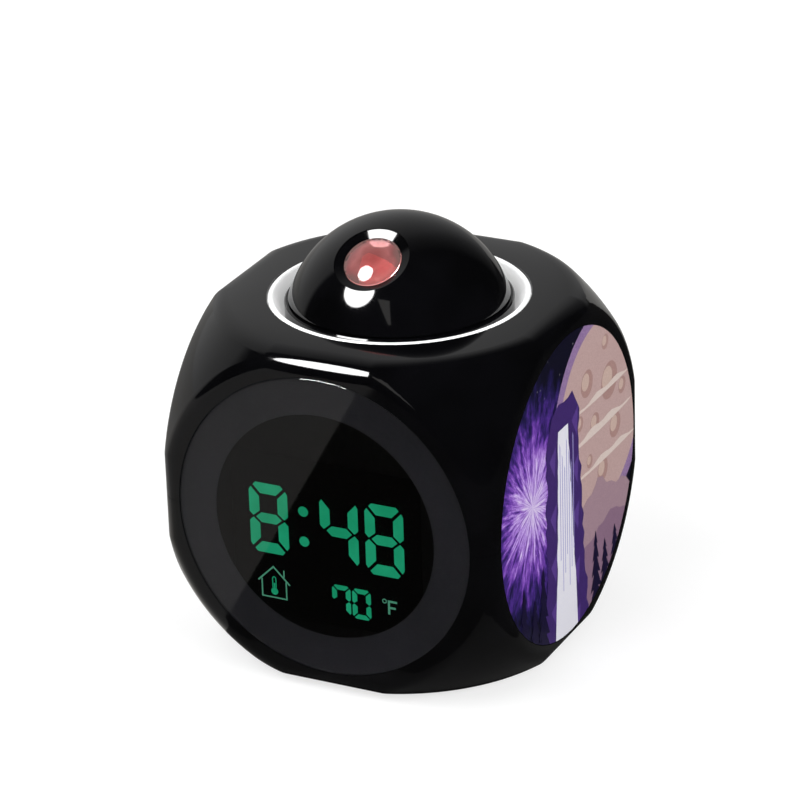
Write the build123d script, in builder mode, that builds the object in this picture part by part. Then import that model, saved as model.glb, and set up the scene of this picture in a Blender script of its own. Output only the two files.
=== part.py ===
from build123d import *
import math
import os

# Projection alarm clock. A die-shaped black case holds a round display in front, a printed
# disc in each side and a button panel in the back. A black projector dome stands in a white
# ring on top: it turns, and it is pressed down against a spring. Three cells lie in the base.
#
# Millimetres. +Z is up, the display faces -Y, and +X is on the right of someone reading it.
# The origin is on the table, below the middle of the case.

os.makedirs("parts", exist_ok=True)

# ---- Case: a cube with rounded edges whose corners are taken off by a sphere -------------------
body_width = 80.0
body_height = 78.6
edge_radius = 5.0
corner_reach = 55.4
wall = 2.2
seam_gap = 0.15
foot_stand = 0.8

half_width = body_width / 2
mid_z = foot_stand + body_height / 2
top_z = foot_stand + body_height
floor_z = foot_stand + wall
cover = 0.5

# ---- Fits --------------------------------------------------------------------------------------
disc_fit = 0.1
pocket_fit = 0.2
running_fit = 0.05
button_fit = 0.25
thread_fit = 0.05

# ---- Front lens and display --------------------------------------------------------------------
lens_radius = 34.7
lens_thickness = 1.2
lens_chamfer = 0.2
mask_thickness = 0.15
mask_window_radius = 26.1
front_opening_radius = 28.0

glass_width = 45.0
glass_height = 38.0
glass_thickness = 2.2
glass_drop = 4.5
light_guide_height = 32.0
light_guide_thickness = 3.8
zebra_width = 40.0
zebra_height = 2.4

frame_radius = 34.0
frame_depth = glass_thickness + light_guide_thickness
frame_ear_thickness = 1.5
frame_screw_inset = 3.2
frame_screw_circle = frame_radius - frame_screw_inset
frame_screw_angle = 15.0
frame_boss_radius = 2.2
frame_boss_length = frame_depth - frame_ear_thickness

board_width = 54.0
board_height = 60.0
board_thickness = 1.6
board_screw_x = 14.0
board_screw_rise = 25.0
board_screw_drop = 28.0

# ---- Side discs and back panel -----------------------------------------------------------------
side_disc_radius = 35.3
side_disc_thickness = 1.2

back_panel_radius = 34.7
back_panel_thickness = 1.2
back_recess = 2.2
back_backing = 1.0
back_backing_radius = 36.0
back_opening_radius = 28.5

# ---- Buttons in the back -----------------------------------------------------------------------
button_radius = 3.4
button_proud = 0.9
button_chamfer = 0.4
button_pitch = 13.0
button_rise = 12.0
button_flange_radius = 4.4
button_flange_thickness = 0.8
button_flange_gap = 0.2
button_stem_radius = 1.4
button_travel = 0.8
button_stem_length = 3.4
stem_entry = 0.3
switch_size = 6.0
switch_height = 3.5
switch_bore_spare = 0.5
button_board_length = 66.0
button_board_height = 16.0
button_board_rise = 13.0
back_boss_radius = 2.2

# ---- Speaker -----------------------------------------------------------------------------------
speaker_radius = 13.0
speaker_drop = 12.5
speaker_rim_wall = 1.2
speaker_rim_height = 3.0
grille_hole_radius = 0.75
grille_pitch = 2.6
grille_rings = 4

# ---- Dome --------------------------------------------------------------------------------------
dome_radius = 25.5
dome_sink = 8.1
dome_wall = 1.8
dome_rim_drop = 0.3
skirt_inset = 1.9
skirt_radius = dome_radius - skirt_inset
skirt_wall = 1.6
skirt_length = 3.0
dome_base_inset = 0.3
dome_base_radius = skirt_radius - dome_base_inset
dome_base_thickness = 1.6
dome_boss_radius = 2.2
dome_boss_inset = 5.6
dome_boss_circle = skirt_radius - dome_boss_inset
thrust_gap = 0.3
axle_radius = 5.95
axle_bore = 4.2
axle_drop = 14.6
clip_thickness = 0.8
clip_groove_depth = 0.85
clip_radius = 8.0
clip_mouth = 7.0

# ---- Collar that is pressed down with the dome -------------------------------------------------
press_travel = 1.5
collar_fit = 0.3
collar_wall = 1.2
collar_radius = skirt_radius + collar_fit + collar_wall
collar_drop = 0.8
collar_chamfer = 0.3
collar_stop_gap = 0.2
collar_flange_thickness = 1.2
collar_floor_drop = 9.7
collar_floor_thickness = 1.6
hub_radius = 8.5
hub_reach = 1.0
collar_sleeve_end_drop = 17.3
nib_radius = 1.4
spring_radius = 10.6
spring_wire = 0.8
spring_turns = 5

# ---- White ring round the dome -----------------------------------------------------------------
throat_gap = 0.8
ring_throat_radius = collar_radius + throat_gap
ring_rim_reach = 2.8
ring_radius = ring_throat_radius + ring_rim_reach
ring_gap = 0.25
ring_rim_width = 1.3
ring_throat_depth = 6.3
ring_wall = 1.3
ring_depth = 13.9
ring_flange_width = 1.5
ring_flange_radius = ring_radius + ring_flange_width
ring_flange_thickness = 1.0
pillar_radius = 2.4
pillar_gap = 0.4
ring_screw_circle = ring_flange_radius + pillar_gap + pillar_radius
ring_ear_drop = 5.7
ring_ear_thickness = 1.5
collar_stop_width = 1.6
collar_flange_radius = ring_throat_radius + collar_stop_width

# ---- Deck under the dome -----------------------------------------------------------------------
deck_drop = 21.8
deck_thickness = 1.5
deck_board_gap = 0.6
deck_hole_radius = 5.0
guide_post_radius = 1.6
guide_post_height = 8.5
guide_offset = 17.0
guide_sleeve_radius = 3.0
press_switch_y = 16.0

# ---- Projector: distances are along its axis from the middle of the dome's sphere --------------
projector_tilt = 31.7
lens_aperture = 6.3
lens_curve = 12.0
lens_sink = 0.3
lens_apex = dome_radius - lens_sink
lens_edge = 1.2
bezel_radius = 8.35
bezel_sink = 2.3
bezel_recess = dome_radius - bezel_sink
tube_bore = 8.4
tube_radius = 10.0
tube_sink = 4.7
tube_end = dome_radius - tube_sink
barrel_wall = 1.4
barrel_flange_radius = 9.6
barrel_end = 11.2
slide_size = 8.6
slide_thickness = 1.4
slide_seat = 16.6
condenser_seat = 13.2
condenser_thickness = 1.8
led_radius = 2.5
led_board_radius = 6.0
led_board_thickness = 1.0

# ---- Cells, bay and door -----------------------------------------------------------------------
cell_radius = 5.25
cell_length = 44.5
cell_gap = 0.6
cell_nub_radius = 1.9
cell_nub_length = 0.8
cell_fit = 0.3
contact_thickness = 0.4
contact_dimple = 0.6
contact_width = 8.0
contact_height = 8.0
cell_spring_radius = 2.8
cell_spring_wire = 0.5
cell_spring_length = 3.6
cell_spring_turns = 3
bay_wall = 1.2

door_thickness = 1.6
door_ledge = 1.25
door_fit = 0.3
door_tab_width = 2.4
door_tab_thickness = 1.0
door_tab_reach = 0.9
door_tab_lift = 0.3
door_riser = 1.2
latch_width = 9.2
latch_reach = 3.5
latch_thickness = 0.8
latch_height = 5.0
latch_barb = 0.8
scoop_length = 2.8
scoop_depth = 1.2

# ---- Case screws and feet ----------------------------------------------------------------------
case_screw_x = 31.0
case_screw_y = 9.0
case_boss_radius = 3.5
case_boss_length = 14.0
case_sleeve_seat = 8.0
case_web = 1.6
screw_head_radius = 2.6
screw_head_height = 1.8
case_screw_radius = 1.4
case_screw_length = 18.0
small_head_radius = 1.9
small_head_height = 1.2
small_screw_radius = 0.9
small_screw_length = 4.5
pillar_screw_bite = 2.8
cross_width = 0.5
foot_x = 21.0
foot_y = 25.0
foot_radius = 3.5
foot_round = 0.3
foot_pocket = 0.6
lead_radius = 0.6

# ---- Levels and planes that several pieces share -----------------------------------------------
front_face = Plane(origin=(0, -half_width, mid_z), x_dir=(1, 0, 0), z_dir=(0, -1, 0))
back_face = Plane(origin=(0, half_width, mid_z), x_dir=(-1, 0, 0), z_dir=(0, 1, 0))
right_face = Plane(origin=(half_width, 0, mid_z), x_dir=(0, 1, 0), z_dir=(1, 0, 0))
left_face = Plane(origin=(-half_width, 0, mid_z), x_dir=(0, -1, 0), z_dir=(-1, 0, 0))
top_face = Plane.XY.offset(top_z)
case_axis = Axis((0, 0, 0), (0, 0, 1))
upright = Plane.XZ

lens_seat = lens_thickness + mask_thickness
board_front = wall + frame_depth
board_back = board_front + board_thickness
flange_back = back_recess + button_flange_gap + button_flange_thickness
stem_end = flange_back + button_stem_length
switch_front = stem_end - stem_entry
switch_back = switch_front + switch_height
switch_bore_depth = stem_entry + button_travel + switch_bore_spare
button_board_back = switch_back + board_thickness
deck_radius = half_width - button_board_back - deck_board_gap
back_boss_base = back_recess + back_backing

deck_top = top_z - deck_drop
collar_top = top_z - collar_drop
collar_floor_top = top_z - collar_floor_drop
collar_floor = collar_floor_top - collar_floor_thickness
collar_inner = collar_radius - collar_wall
sleeve_end = top_z - ring_depth
collar_flange_top = sleeve_end - collar_stop_gap
collar_bottom = collar_flange_top - collar_flange_thickness
hub_bottom = collar_floor - hub_reach
dome_rim = top_z - dome_rim_drop
skirt_bottom = dome_rim - skirt_length
dome_base_bottom = skirt_bottom - dome_base_thickness
hub_top = dome_base_bottom - thrust_gap
axle_bottom = top_z - axle_drop
dome_z = top_z - dome_sink
ring_ear_top = top_z - ring_ear_drop
ring_ear_bottom = ring_ear_top - ring_ear_thickness

tilt = math.radians(projector_tilt)
beam = (0, -math.sin(tilt), math.cos(tilt))
dome_middle = (0, 0, dome_z)
beam_plane = Plane(origin=dome_middle, x_dir=(1, 0, 0), z_dir=beam)
beam_section = Plane(origin=dome_middle, x_dir=(1, 0, 0), z_dir=(0, -math.cos(tilt), -math.sin(tilt)))
beam_axis = Axis(dome_middle, beam)

cell_pitch = 2 * cell_radius + cell_gap
cell_ends = 2 * contact_thickness + contact_dimple + cell_spring_length
bay_length = cell_length + cell_ends
bay_width = 3 * cell_pitch
cell_z = floor_z + cell_fit + cell_radius
bay_top = cell_z + cell_radius + cell_fit
cell_shift = (cell_spring_length - contact_dimple) / 2
door_length = bay_length + 2 * door_ledge
door_width = bay_width + 2 * door_ledge
door_hinge_x = -door_length / 2 - door_fit
tab_y = cell_pitch / 2
slot_end = door_length / 2 + door_fit + latch_reach


def save(builder, name):
    """Label a finished piece and write it as one STEP file."""
    builder.part.label = name
    export_step(builder.part, f"parts/{name}.step")


def rounded_case(inset):
    """The case's outer shape with its whole surface moved in by inset."""
    with BuildPart(Plane.XY.offset(mid_z)) as shape:
        Box(body_width - 2 * edge_radius, body_width - 2 * edge_radius, body_height - 2 * edge_radius)
        Sphere(corner_reach - edge_radius, mode=Mode.INTERSECT)
        offset(amount=edge_radius - inset, kind=Kind.ARC)
    return shape.part


def turned(section, axis, corners):
    """A solid of revolution from its (radius, height) corners in a section plane."""
    with BuildPart() as solid:
        with BuildSketch(section):
            with BuildLine():
                Polyline(*corners, close=True)
            make_face()
        revolve(axis=axis)
    return solid.part


def screw(head_radius, head_height, shank_radius, shank_length):
    """A pan-head screw that stands on its head's seat: head above it, shank below."""
    with BuildPart() as fastener:
        with BuildSketch():
            Circle(head_radius)
        extrude(amount=head_height)
        fillet(fastener.edges().group_by(Axis.Z)[-1], head_height / 3)
        with BuildSketch():
            Circle(shank_radius)
        extrude(amount=-shank_length)
        chamfer(fastener.edges().group_by(Axis.Z)[0], shank_radius / 2)
        with BuildSketch(Plane.XY.offset(head_height)):
            Rectangle(head_radius, cross_width)
            Rectangle(cross_width, head_radius)
        extrude(amount=-head_height / 2, mode=Mode.SUBTRACT)
    return fastener.part


def coil(radius, wire, length, turns):
    """A coil spring that stands on the table at the origin, as tall as its length."""
    rise = length - wire
    with BuildPart() as spring:
        with BuildLine(Plane.XY.offset(wire / 2)) as path:
            Helix(pitch=rise / turns, height=rise, radius=radius)
        with BuildSketch(Plane(path.line @ 0, z_dir=path.line % 0)):
            Circle(wire / 2)
        sweep(is_frenet=True)
    return spring.part


def lead(points, bend):
    """A wire along straight runs that are joined by arcs."""
    with BuildPart() as wire:
        with BuildLine() as route:
            FilletPolyline(*points, radius=bend)
        with BuildSketch(Plane(route.line @ 0, z_dir=route.line % 0)):
            Circle(lead_radius)
        sweep()
    return wire.part


# ---- Where fasteners and repeated features stand, in the plane that they are drawn on ----------
def frame_screw_spots():
    """Three screws over the top of a round frame, from one side to the other."""
    return PolarLocations(frame_screw_circle, 3, frame_screw_angle,
                          180 - 2 * frame_screw_angle, endpoint=True)


def back_screw_spots():
    """The two screws at the ends of the button board."""
    return PolarLocations(frame_screw_circle, 2, frame_screw_angle,
                          180 - 2 * frame_screw_angle, endpoint=True)


def board_screw_spots():
    """The four screws that hold the main board to the display's frame."""
    return Locations((board_screw_x, board_screw_rise), (-board_screw_x, board_screw_rise),
                     (board_screw_x, -board_screw_drop), (-board_screw_x, -board_screw_drop))


def case_screw_spots():
    """The four long screws that join the halves of the case."""
    return GridLocations(2 * case_screw_x, 2 * case_screw_y, 2, 2)


def ring_screw_spots():
    """The four screws that clamp the deck and the white ring under the top wall."""
    return PolarLocations(ring_screw_circle, 4, 45)


def dome_screw_spots():
    """The three screws that close the dome from below."""
    return PolarLocations(dome_boss_circle, 3, 90)


def foot_spots():
    """The four rubber feet."""
    return GridLocations(2 * foot_x, 2 * foot_y, 2, 2)


def button_spots():
    """The four buttons in their row."""
    return GridLocations(button_pitch, button_pitch, 4, 1)


def guide_spots():
    """The two posts that keep the collar upright."""
    return Locations((guide_offset, 0), (-guide_offset, 0))


# ---- The two halves of the case ----------------------------------------------------------------
case_outside = rounded_case(0)
case_inside = rounded_case(wall)

with BuildPart() as case_blank:
    add(case_outside)
    add(case_inside, mode=Mode.SUBTRACT)
    # A ring inside the back wall carries the deeper back panel.
    with BuildSketch(back_face.offset(-wall)):
        Circle(back_backing_radius)
    extrude(amount=-back_backing)
    with BuildSketch(front_face):
        Circle(lens_radius + disc_fit)
    extrude(amount=-lens_seat, mode=Mode.SUBTRACT)
    with BuildSketch(front_face):
        Circle(front_opening_radius)
    extrude(amount=-wall, mode=Mode.SUBTRACT)
    with BuildSketch(right_face, left_face):
        Circle(side_disc_radius + disc_fit)
    extrude(amount=-side_disc_thickness, mode=Mode.SUBTRACT)
    with BuildSketch(back_face):
        Circle(back_panel_radius + disc_fit)
    extrude(amount=-back_recess, mode=Mode.SUBTRACT)
    with BuildSketch(back_face):
        Circle(back_opening_radius)
    extrude(amount=-back_boss_base, mode=Mode.SUBTRACT)
    with BuildSketch(top_face):
        Circle(ring_radius + ring_gap)
    extrude(amount=-wall, mode=Mode.SUBTRACT)

web_end = half_width - wall + cover

with BuildPart() as upper_shell:
    add(case_blank.part)
    split(bisect_by=Plane.XY.offset(mid_z + seam_gap / 2), keep=Keep.TOP)
    with BuildSketch(front_face.offset(-wall)):
        with frame_screw_spots():
            Circle(frame_boss_radius)
    extrude(amount=-frame_boss_length)
    with BuildSketch(front_face.offset(-wall - frame_boss_length)):
        with frame_screw_spots():
            Circle(small_screw_radius + thread_fit)
    extrude(amount=frame_boss_length, mode=Mode.SUBTRACT)
    with BuildSketch(back_face.offset(-back_boss_base)):
        with back_screw_spots():
            Circle(back_boss_radius)
    extrude(amount=back_boss_base - switch_back)
    with BuildSketch(back_face.offset(-switch_back)):
        with back_screw_spots():
            Circle(small_screw_radius + thread_fit)
    extrude(amount=switch_back - back_boss_base, mode=Mode.SUBTRACT)
    # Four screw bosses at the seam, each tied to its side wall by a web.
    with BuildSketch(Plane.XY.offset(mid_z + seam_gap / 2)):
        with case_screw_spots():
            Circle(case_boss_radius)
        with GridLocations(case_screw_x + web_end, 2 * case_screw_y, 2, 2):
            Rectangle(web_end - case_screw_x, case_web)
    extrude(amount=case_boss_length)
    with BuildSketch(Plane.XY.offset(mid_z)):
        with case_screw_spots():
            Circle(case_screw_radius + thread_fit)
    extrude(amount=case_screw_length - case_sleeve_seat + cover, mode=Mode.SUBTRACT)
    # Four short bosses hang from the top wall outside the white ring.
    with BuildSketch(Plane.XY.offset(ring_ear_top)):
        with ring_screw_spots():
            Circle(pillar_radius)
    extrude(amount=ring_ear_drop - wall)
    with BuildSketch(Plane.XY.offset(ring_ear_top)):
        with ring_screw_spots():
            Circle(small_screw_radius + thread_fit)
    extrude(amount=ring_ear_drop - wall, mode=Mode.SUBTRACT)

with BuildPart() as lower_shell:
    add(case_blank.part)
    split(bisect_by=Plane.XY.offset(mid_z - seam_gap / 2), keep=Keep.BOTTOM)
    with BuildSketch(Plane.XY.offset(floor_z - cover)):
        with case_screw_spots():
            Circle(case_boss_radius)
    extrude(amount=mid_z - seam_gap / 2 - floor_z + cover)
    with BuildSketch(Plane.XY.offset(floor_z - cover)):
        Rectangle(bay_length + 2 * bay_wall, bay_width + 2 * bay_wall)
    extrude(amount=bay_top + bay_wall - floor_z + cover)
    with BuildSketch(Plane.XY.offset(foot_stand)):
        Rectangle(bay_length, bay_width)
    extrude(amount=bay_top - foot_stand, mode=Mode.SUBTRACT)
    # The door lies flush in a recess round the bay; its latch has a slot of its own.
    with BuildSketch(Plane.XY.offset(foot_stand)):
        Rectangle(door_length + 2 * door_fit, door_width + 2 * door_fit)
    extrude(amount=door_thickness + cell_fit / 2, mode=Mode.SUBTRACT)
    with BuildSketch(Plane.XY.offset(foot_stand)):
        with Locations((slot_end - latch_reach / 2, 0)):
            Rectangle(latch_reach, latch_width + 2 * door_fit)
    extrude(amount=wall, mode=Mode.SUBTRACT)
    with BuildSketch(Plane.XY.offset(foot_stand)):
        with Locations((slot_end + scoop_length / 2, 0)):
            RectangleRounded(scoop_length, latch_width, scoop_length / 3)
    extrude(amount=scoop_depth, mode=Mode.SUBTRACT)
    with BuildSketch(Plane.XY.offset(foot_stand)):
        with Locations((door_hinge_x + door_ledge / 2 + door_fit / 2, tab_y),
                       (door_hinge_x + door_ledge / 2 + door_fit / 2, -tab_y)):
            Rectangle(door_ledge + door_fit, door_tab_width + 2 * door_fit)
    extrude(amount=wall + door_tab_lift + 2 * door_tab_thickness, mode=Mode.SUBTRACT)
    with BuildSketch(Plane.XY.offset(foot_stand)):
        with foot_spots():
            Circle(foot_radius + disc_fit)
    extrude(amount=foot_pocket, mode=Mode.SUBTRACT)
    with BuildSketch(Plane.XY.offset(foot_stand)):
        with case_screw_spots():
            Circle(screw_head_radius + pocket_fit)
    extrude(amount=mid_z - case_sleeve_seat - foot_stand, mode=Mode.SUBTRACT)
    with BuildSketch(Plane.XY.offset(foot_stand)):
        with case_screw_spots():
            Circle(case_screw_radius + pocket_fit)
    extrude(amount=body_height / 2, mode=Mode.SUBTRACT)

# ---- Front lens, mask and display --------------------------------------------------------------
with BuildPart() as front_lens:
    with BuildSketch(front_face):
        Circle(lens_radius)
    extrude(amount=-lens_thickness)
    chamfer(front_lens.edges().group_by(Axis.Y)[0], lens_chamfer)

with BuildPart() as display_mask:
    with BuildSketch(front_face.offset(-lens_thickness)):
        Circle(lens_radius)
        Circle(mask_window_radius, mode=Mode.SUBTRACT)
    extrude(amount=-mask_thickness)

behind_wall = front_face.offset(-wall)

with BuildPart() as display_glass:
    with BuildSketch(behind_wall):
        with Locations((0, -glass_drop)):
            Rectangle(glass_width, glass_height)
    extrude(amount=-glass_thickness)

light_guide_y = -glass_drop - (glass_height - light_guide_height) / 2

with BuildPart() as light_guide:
    with BuildSketch(behind_wall.offset(-glass_thickness)):
        with Locations((0, light_guide_y)):
            Rectangle(glass_width, light_guide_height)
    extrude(amount=-light_guide_thickness)

zebra_y = (light_guide_y + light_guide_height / 2 + glass_height / 2 - glass_drop) / 2

with BuildPart() as zebra_strip:
    with BuildSketch(behind_wall.offset(-glass_thickness)):
        with Locations((0, zebra_y)):
            Rectangle(zebra_width, zebra_height)
    extrude(amount=-light_guide_thickness)

with BuildPart() as display_frame:
    with BuildSketch(behind_wall):
        Circle(frame_radius)
        with Locations((0, -glass_drop)):
            Rectangle(glass_width + 2 * pocket_fit, glass_height + 2 * pocket_fit, mode=Mode.SUBTRACT)
    extrude(amount=-frame_depth)
    with BuildSketch(behind_wall):
        with frame_screw_spots():
            Circle(frame_boss_radius + pocket_fit)
    extrude(amount=-frame_boss_length, mode=Mode.SUBTRACT)
    with BuildSketch(behind_wall):
        with frame_screw_spots():
            Circle(small_screw_radius + pocket_fit)
        with board_screw_spots():
            Circle(small_screw_radius + thread_fit)
    extrude(amount=-frame_depth, mode=Mode.SUBTRACT)

with BuildPart() as main_board:
    with BuildSketch(front_face.offset(-board_front)):
        with Locations((0, (board_screw_rise - board_screw_drop) / 2)):
            Rectangle(board_width, board_height)
        with board_screw_spots():
            Circle(small_screw_radius + pocket_fit, mode=Mode.SUBTRACT)
    extrude(amount=-board_thickness)

# ---- What stands on the main board -------------------------------------------------------------
on_board = front_face.offset(-board_back)
socket_width = 6.0
socket_depth = 4.0
socket_height = 4.5
side_socket_x = 16.0
side_socket_drop = 14.0
socket_deck_gap = 4.0
top_socket_rise = body_height / 2 - deck_drop - deck_thickness - socket_deck_gap
blob_radius = 6.5
blob_height = 2.0
blob_socket_gap = 3.25
blob_rise = top_socket_rise - socket_height / 2 - blob_socket_gap - blob_radius
blob_curve = (blob_radius ** 2 + blob_height ** 2) / (2 * blob_height)
capacitor_radius = 2.5
capacitor_height = 5.5
crystal_length = 6.0
crystal_radius = 1.1
thermistor_radius = 1.2
capacitor_spots = ((17, 6), (-17, 6), (20, -2))
crystal_blob_gap = 1.4
crystal_rise = blob_rise - blob_radius - crystal_blob_gap - crystal_radius
thermistor_spot = (-22, -27)
socket_spots = ((-side_socket_x, -side_socket_drop), (side_socket_x, -side_socket_drop),
                (0, top_socket_rise))

blob_middle = on_board.origin + Vector(0, 0, blob_rise)

with BuildPart() as processor:
    with BuildSketch(Plane(origin=blob_middle, x_dir=(1, 0, 0), z_dir=(0, 0, 1))):
        with BuildLine():
            RadiusArc((0, blob_height), (blob_radius, 0), blob_curve)
            Polyline((0, blob_height), (0, 0), (blob_radius, 0))
        make_face()
    revolve(axis=Axis(blob_middle, (0, 1, 0)))

with BuildPart() as capacitors:
    with BuildSketch(on_board):
        with Locations(*capacitor_spots):
            Circle(capacitor_radius)
    extrude(amount=-capacitor_height)

with BuildPart() as crystal:
    with BuildSketch(Plane(origin=on_board.origin + Vector(0, crystal_radius, crystal_rise),
                           z_dir=(1, 0, 0))):
        Circle(crystal_radius)
    extrude(amount=crystal_length / 2, both=True)

with BuildPart() as thermistor:
    with BuildSketch(on_board):
        with Locations(thermistor_spot):
            Circle(thermistor_radius)
    extrude(amount=-2 * thermistor_radius)

with BuildPart() as lead_sockets:
    with BuildSketch(on_board):
        with Locations(*socket_spots):
            Rectangle(socket_width, socket_height)
    extrude(amount=-socket_depth)

# ---- Printed side discs ------------------------------------------------------------------------
with BuildPart() as right_disc:
    with BuildSketch(right_face):
        Circle(side_disc_radius)
    extrude(amount=-side_disc_thickness)

with BuildPart() as left_disc:
    with BuildSketch(left_face):
        Circle(side_disc_radius)
    extrude(amount=-side_disc_thickness)

# ---- Back panel, buttons and their board -------------------------------------------------------
panel_front = back_face.offset(back_panel_thickness - back_recess)
panel_back = back_face.offset(-back_recess)
speaker_middle = Vector(0, half_width - back_recess, mid_z - speaker_drop)

with BuildPart() as back_panel:
    with BuildSketch(panel_front):
        Circle(back_panel_radius)
        with Locations((0, button_rise)):
            with button_spots():
                Circle(button_radius + button_fit, mode=Mode.SUBTRACT)
        with Locations((0, -speaker_drop)):
            Circle(grille_hole_radius, mode=Mode.SUBTRACT)
            for ring in range(1, grille_rings):
                with PolarLocations(ring * grille_pitch, 6 * ring):
                    Circle(grille_hole_radius, mode=Mode.SUBTRACT)
    extrude(amount=-back_panel_thickness)
    with BuildSketch(panel_back):
        with Locations((0, -speaker_drop)):
            Circle(speaker_radius + pocket_fit + speaker_rim_wall)
            Circle(speaker_radius + pocket_fit, mode=Mode.SUBTRACT)
    extrude(amount=-speaker_rim_height)

button_names = ("button_down", "button_up", "button_set", "button_mode")
for place, button_name in enumerate(button_names):
    across = (place - (len(button_names) - 1) / 2) * button_pitch
    with BuildPart() as button:
        with BuildSketch(panel_front.offset(button_proud)):
            with Locations((across, button_rise)):
                Circle(button_radius)
        extrude(amount=-(button_proud + back_panel_thickness + button_flange_gap))
        chamfer(button.edges().group_by(Axis.Y)[-1], button_chamfer)
        with BuildSketch(back_face.offset(-back_recess - button_flange_gap)):
            with Locations((across, button_rise)):
                Circle(button_flange_radius)
        extrude(amount=-button_flange_thickness)
        with BuildSketch(back_face.offset(-flange_back)):
            with Locations((across, button_rise)):
                Circle(button_stem_radius)
        extrude(amount=flange_back - stem_end)
    save(button, button_name)

with BuildPart() as button_switches:
    with BuildSketch(back_face.offset(-switch_front)):
        with Locations((0, button_rise)):
            with button_spots():
                Rectangle(switch_size, switch_size)
    extrude(amount=-switch_height)
    with BuildSketch(back_face.offset(-switch_front)):
        with Locations((0, button_rise)):
            with button_spots():
                Circle(button_stem_radius + button_fit)
    extrude(amount=-switch_bore_depth, mode=Mode.SUBTRACT)

with BuildPart() as button_board:
    with BuildSketch(back_face.offset(-switch_back)):
        with Locations((0, button_board_rise)):
            Rectangle(button_board_length, button_board_height)
        with back_screw_spots():
            Circle(small_screw_radius + pocket_fit, mode=Mode.SUBTRACT)
    extrude(amount=-board_thickness)

# ---- Speaker -----------------------------------------------------------------------------------
speaker_section = Plane(origin=speaker_middle, x_dir=(1, 0, 0), z_dir=(0, 0, 1))
speaker_axis = Axis(speaker_middle, (0, 1, 0))
basket_mouth = 10.6
basket_seat = 6.5
basket_depth = 5.2
basket_wall = 0.8
magnet_radius = 8.0
magnet_depth = 4.4
cone_mouth = 10.3
cone_depth = 2.8
cap_radius = 3.0
paper = 0.4

basket_body = turned(speaker_section, speaker_axis, (
    (basket_mouth, 0), (speaker_radius, 0), (speaker_radius, -basket_wall),
    (basket_mouth, -basket_wall - paper), (basket_seat, -basket_depth), (cap_radius, -basket_depth),
    (cap_radius, basket_wall - basket_depth), (basket_seat - basket_wall / 2, basket_wall - basket_depth),
    (basket_mouth - basket_wall, -basket_wall)))

with BuildPart() as speaker_basket:
    add(basket_body)

magnet_body = turned(speaker_section, speaker_axis, (
    (0, -basket_depth), (magnet_radius, -basket_depth),
    (magnet_radius, -basket_depth - magnet_depth), (0, -basket_depth - magnet_depth)))

with BuildPart() as speaker_magnet:
    add(magnet_body)

cone_body = turned(speaker_section, speaker_axis, (
    (cone_mouth, 0), (cone_mouth, -paper / 2), (cap_radius, -cone_depth), (0, -cone_depth),
    (0, paper - cone_depth), (cap_radius - paper / 2, paper - cone_depth), (cone_mouth - 2 * paper, 0)))

with BuildPart() as speaker_cone:
    add(cone_body)

# ---- White ring --------------------------------------------------------------------------------
ring_inner = ring_radius - ring_rim_width
sleeve_outer = ring_throat_radius + ring_wall
rim_round = 0.3

with BuildPart() as light_ring:
    with BuildSketch(upright):
        with BuildLine():
            Polyline((ring_inner, top_z - rim_round), (ring_inner + rim_round, top_z),
                     (ring_radius - rim_round, top_z), (ring_radius, top_z - rim_round),
                     (ring_radius, top_z - wall), (ring_flange_radius, top_z - wall),
                     (ring_flange_radius, top_z - wall - ring_flange_thickness),
                     (sleeve_outer + ring_wall / 2, top_z - wall - ring_flange_thickness),
                     (sleeve_outer, top_z - ring_throat_depth),
                     (sleeve_outer, sleeve_end), (ring_throat_radius, sleeve_end),
                     (ring_throat_radius, top_z - ring_throat_depth))
            TangentArc((ring_throat_radius, top_z - ring_throat_depth),
                       (ring_inner, top_z - rim_round), tangent=(0, 1))
        make_face()
    revolve(axis=case_axis)
    with BuildSketch(Plane.XY.offset(ring_ear_bottom)):
        with ring_screw_spots():
            Circle(pillar_radius)
        with PolarLocations((ring_screw_circle + sleeve_outer) / 2, 4, 45):
            Rectangle(ring_screw_circle - sleeve_outer + cover, 2 * pillar_radius)
        with ring_screw_spots():
            Circle(small_screw_radius + pocket_fit, mode=Mode.SUBTRACT)
    extrude(amount=ring_ear_thickness)

# ---- Deck: pillars, guide posts and the seat of the spring -------------------------------------
with BuildPart() as deck:
    with BuildSketch(Plane.XY.offset(deck_top)):
        Circle(deck_radius)
        with PolarLocations(ring_screw_circle / 2, 4, 45):
            Rectangle(ring_screw_circle, 2 * pillar_radius)
        with ring_screw_spots():
            Circle(pillar_radius)
        Circle(deck_hole_radius, mode=Mode.SUBTRACT)
    extrude(amount=-deck_thickness)
    with BuildSketch(Plane.XY.offset(deck_top)):
        with ring_screw_spots():
            Circle(pillar_radius)
    extrude(amount=ring_ear_bottom - deck_top)
    with BuildSketch(Plane.XY.offset(deck_top)):
        with guide_spots():
            Circle(guide_post_radius)
    extrude(amount=guide_post_height)
    with BuildSketch(Plane.XY.offset(deck_top - deck_thickness)):
        with ring_screw_spots():
            Circle(small_screw_radius + pocket_fit)
    extrude(amount=ring_ear_bottom - deck_top + deck_thickness, mode=Mode.SUBTRACT)

spring_body = coil(spring_radius, spring_wire, collar_floor - deck_top, spring_turns)

with BuildPart() as return_spring:
    with Locations(Plane.XY.offset(deck_top)):
        add(spring_body)

nib_end = deck_top + switch_height - stem_entry
press_bore_depth = stem_entry + press_travel + switch_bore_spare

with BuildPart() as press_switch:
    with BuildSketch(Plane.XY.offset(deck_top)):
        with Locations((0, press_switch_y)):
            Rectangle(switch_size, switch_size)
    extrude(amount=switch_height)
    with BuildSketch(Plane.XY.offset(deck_top + switch_height)):
        with Locations((0, press_switch_y)):
            Circle(nib_radius + button_fit)
    extrude(amount=-press_bore_depth, mode=Mode.SUBTRACT)

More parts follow.
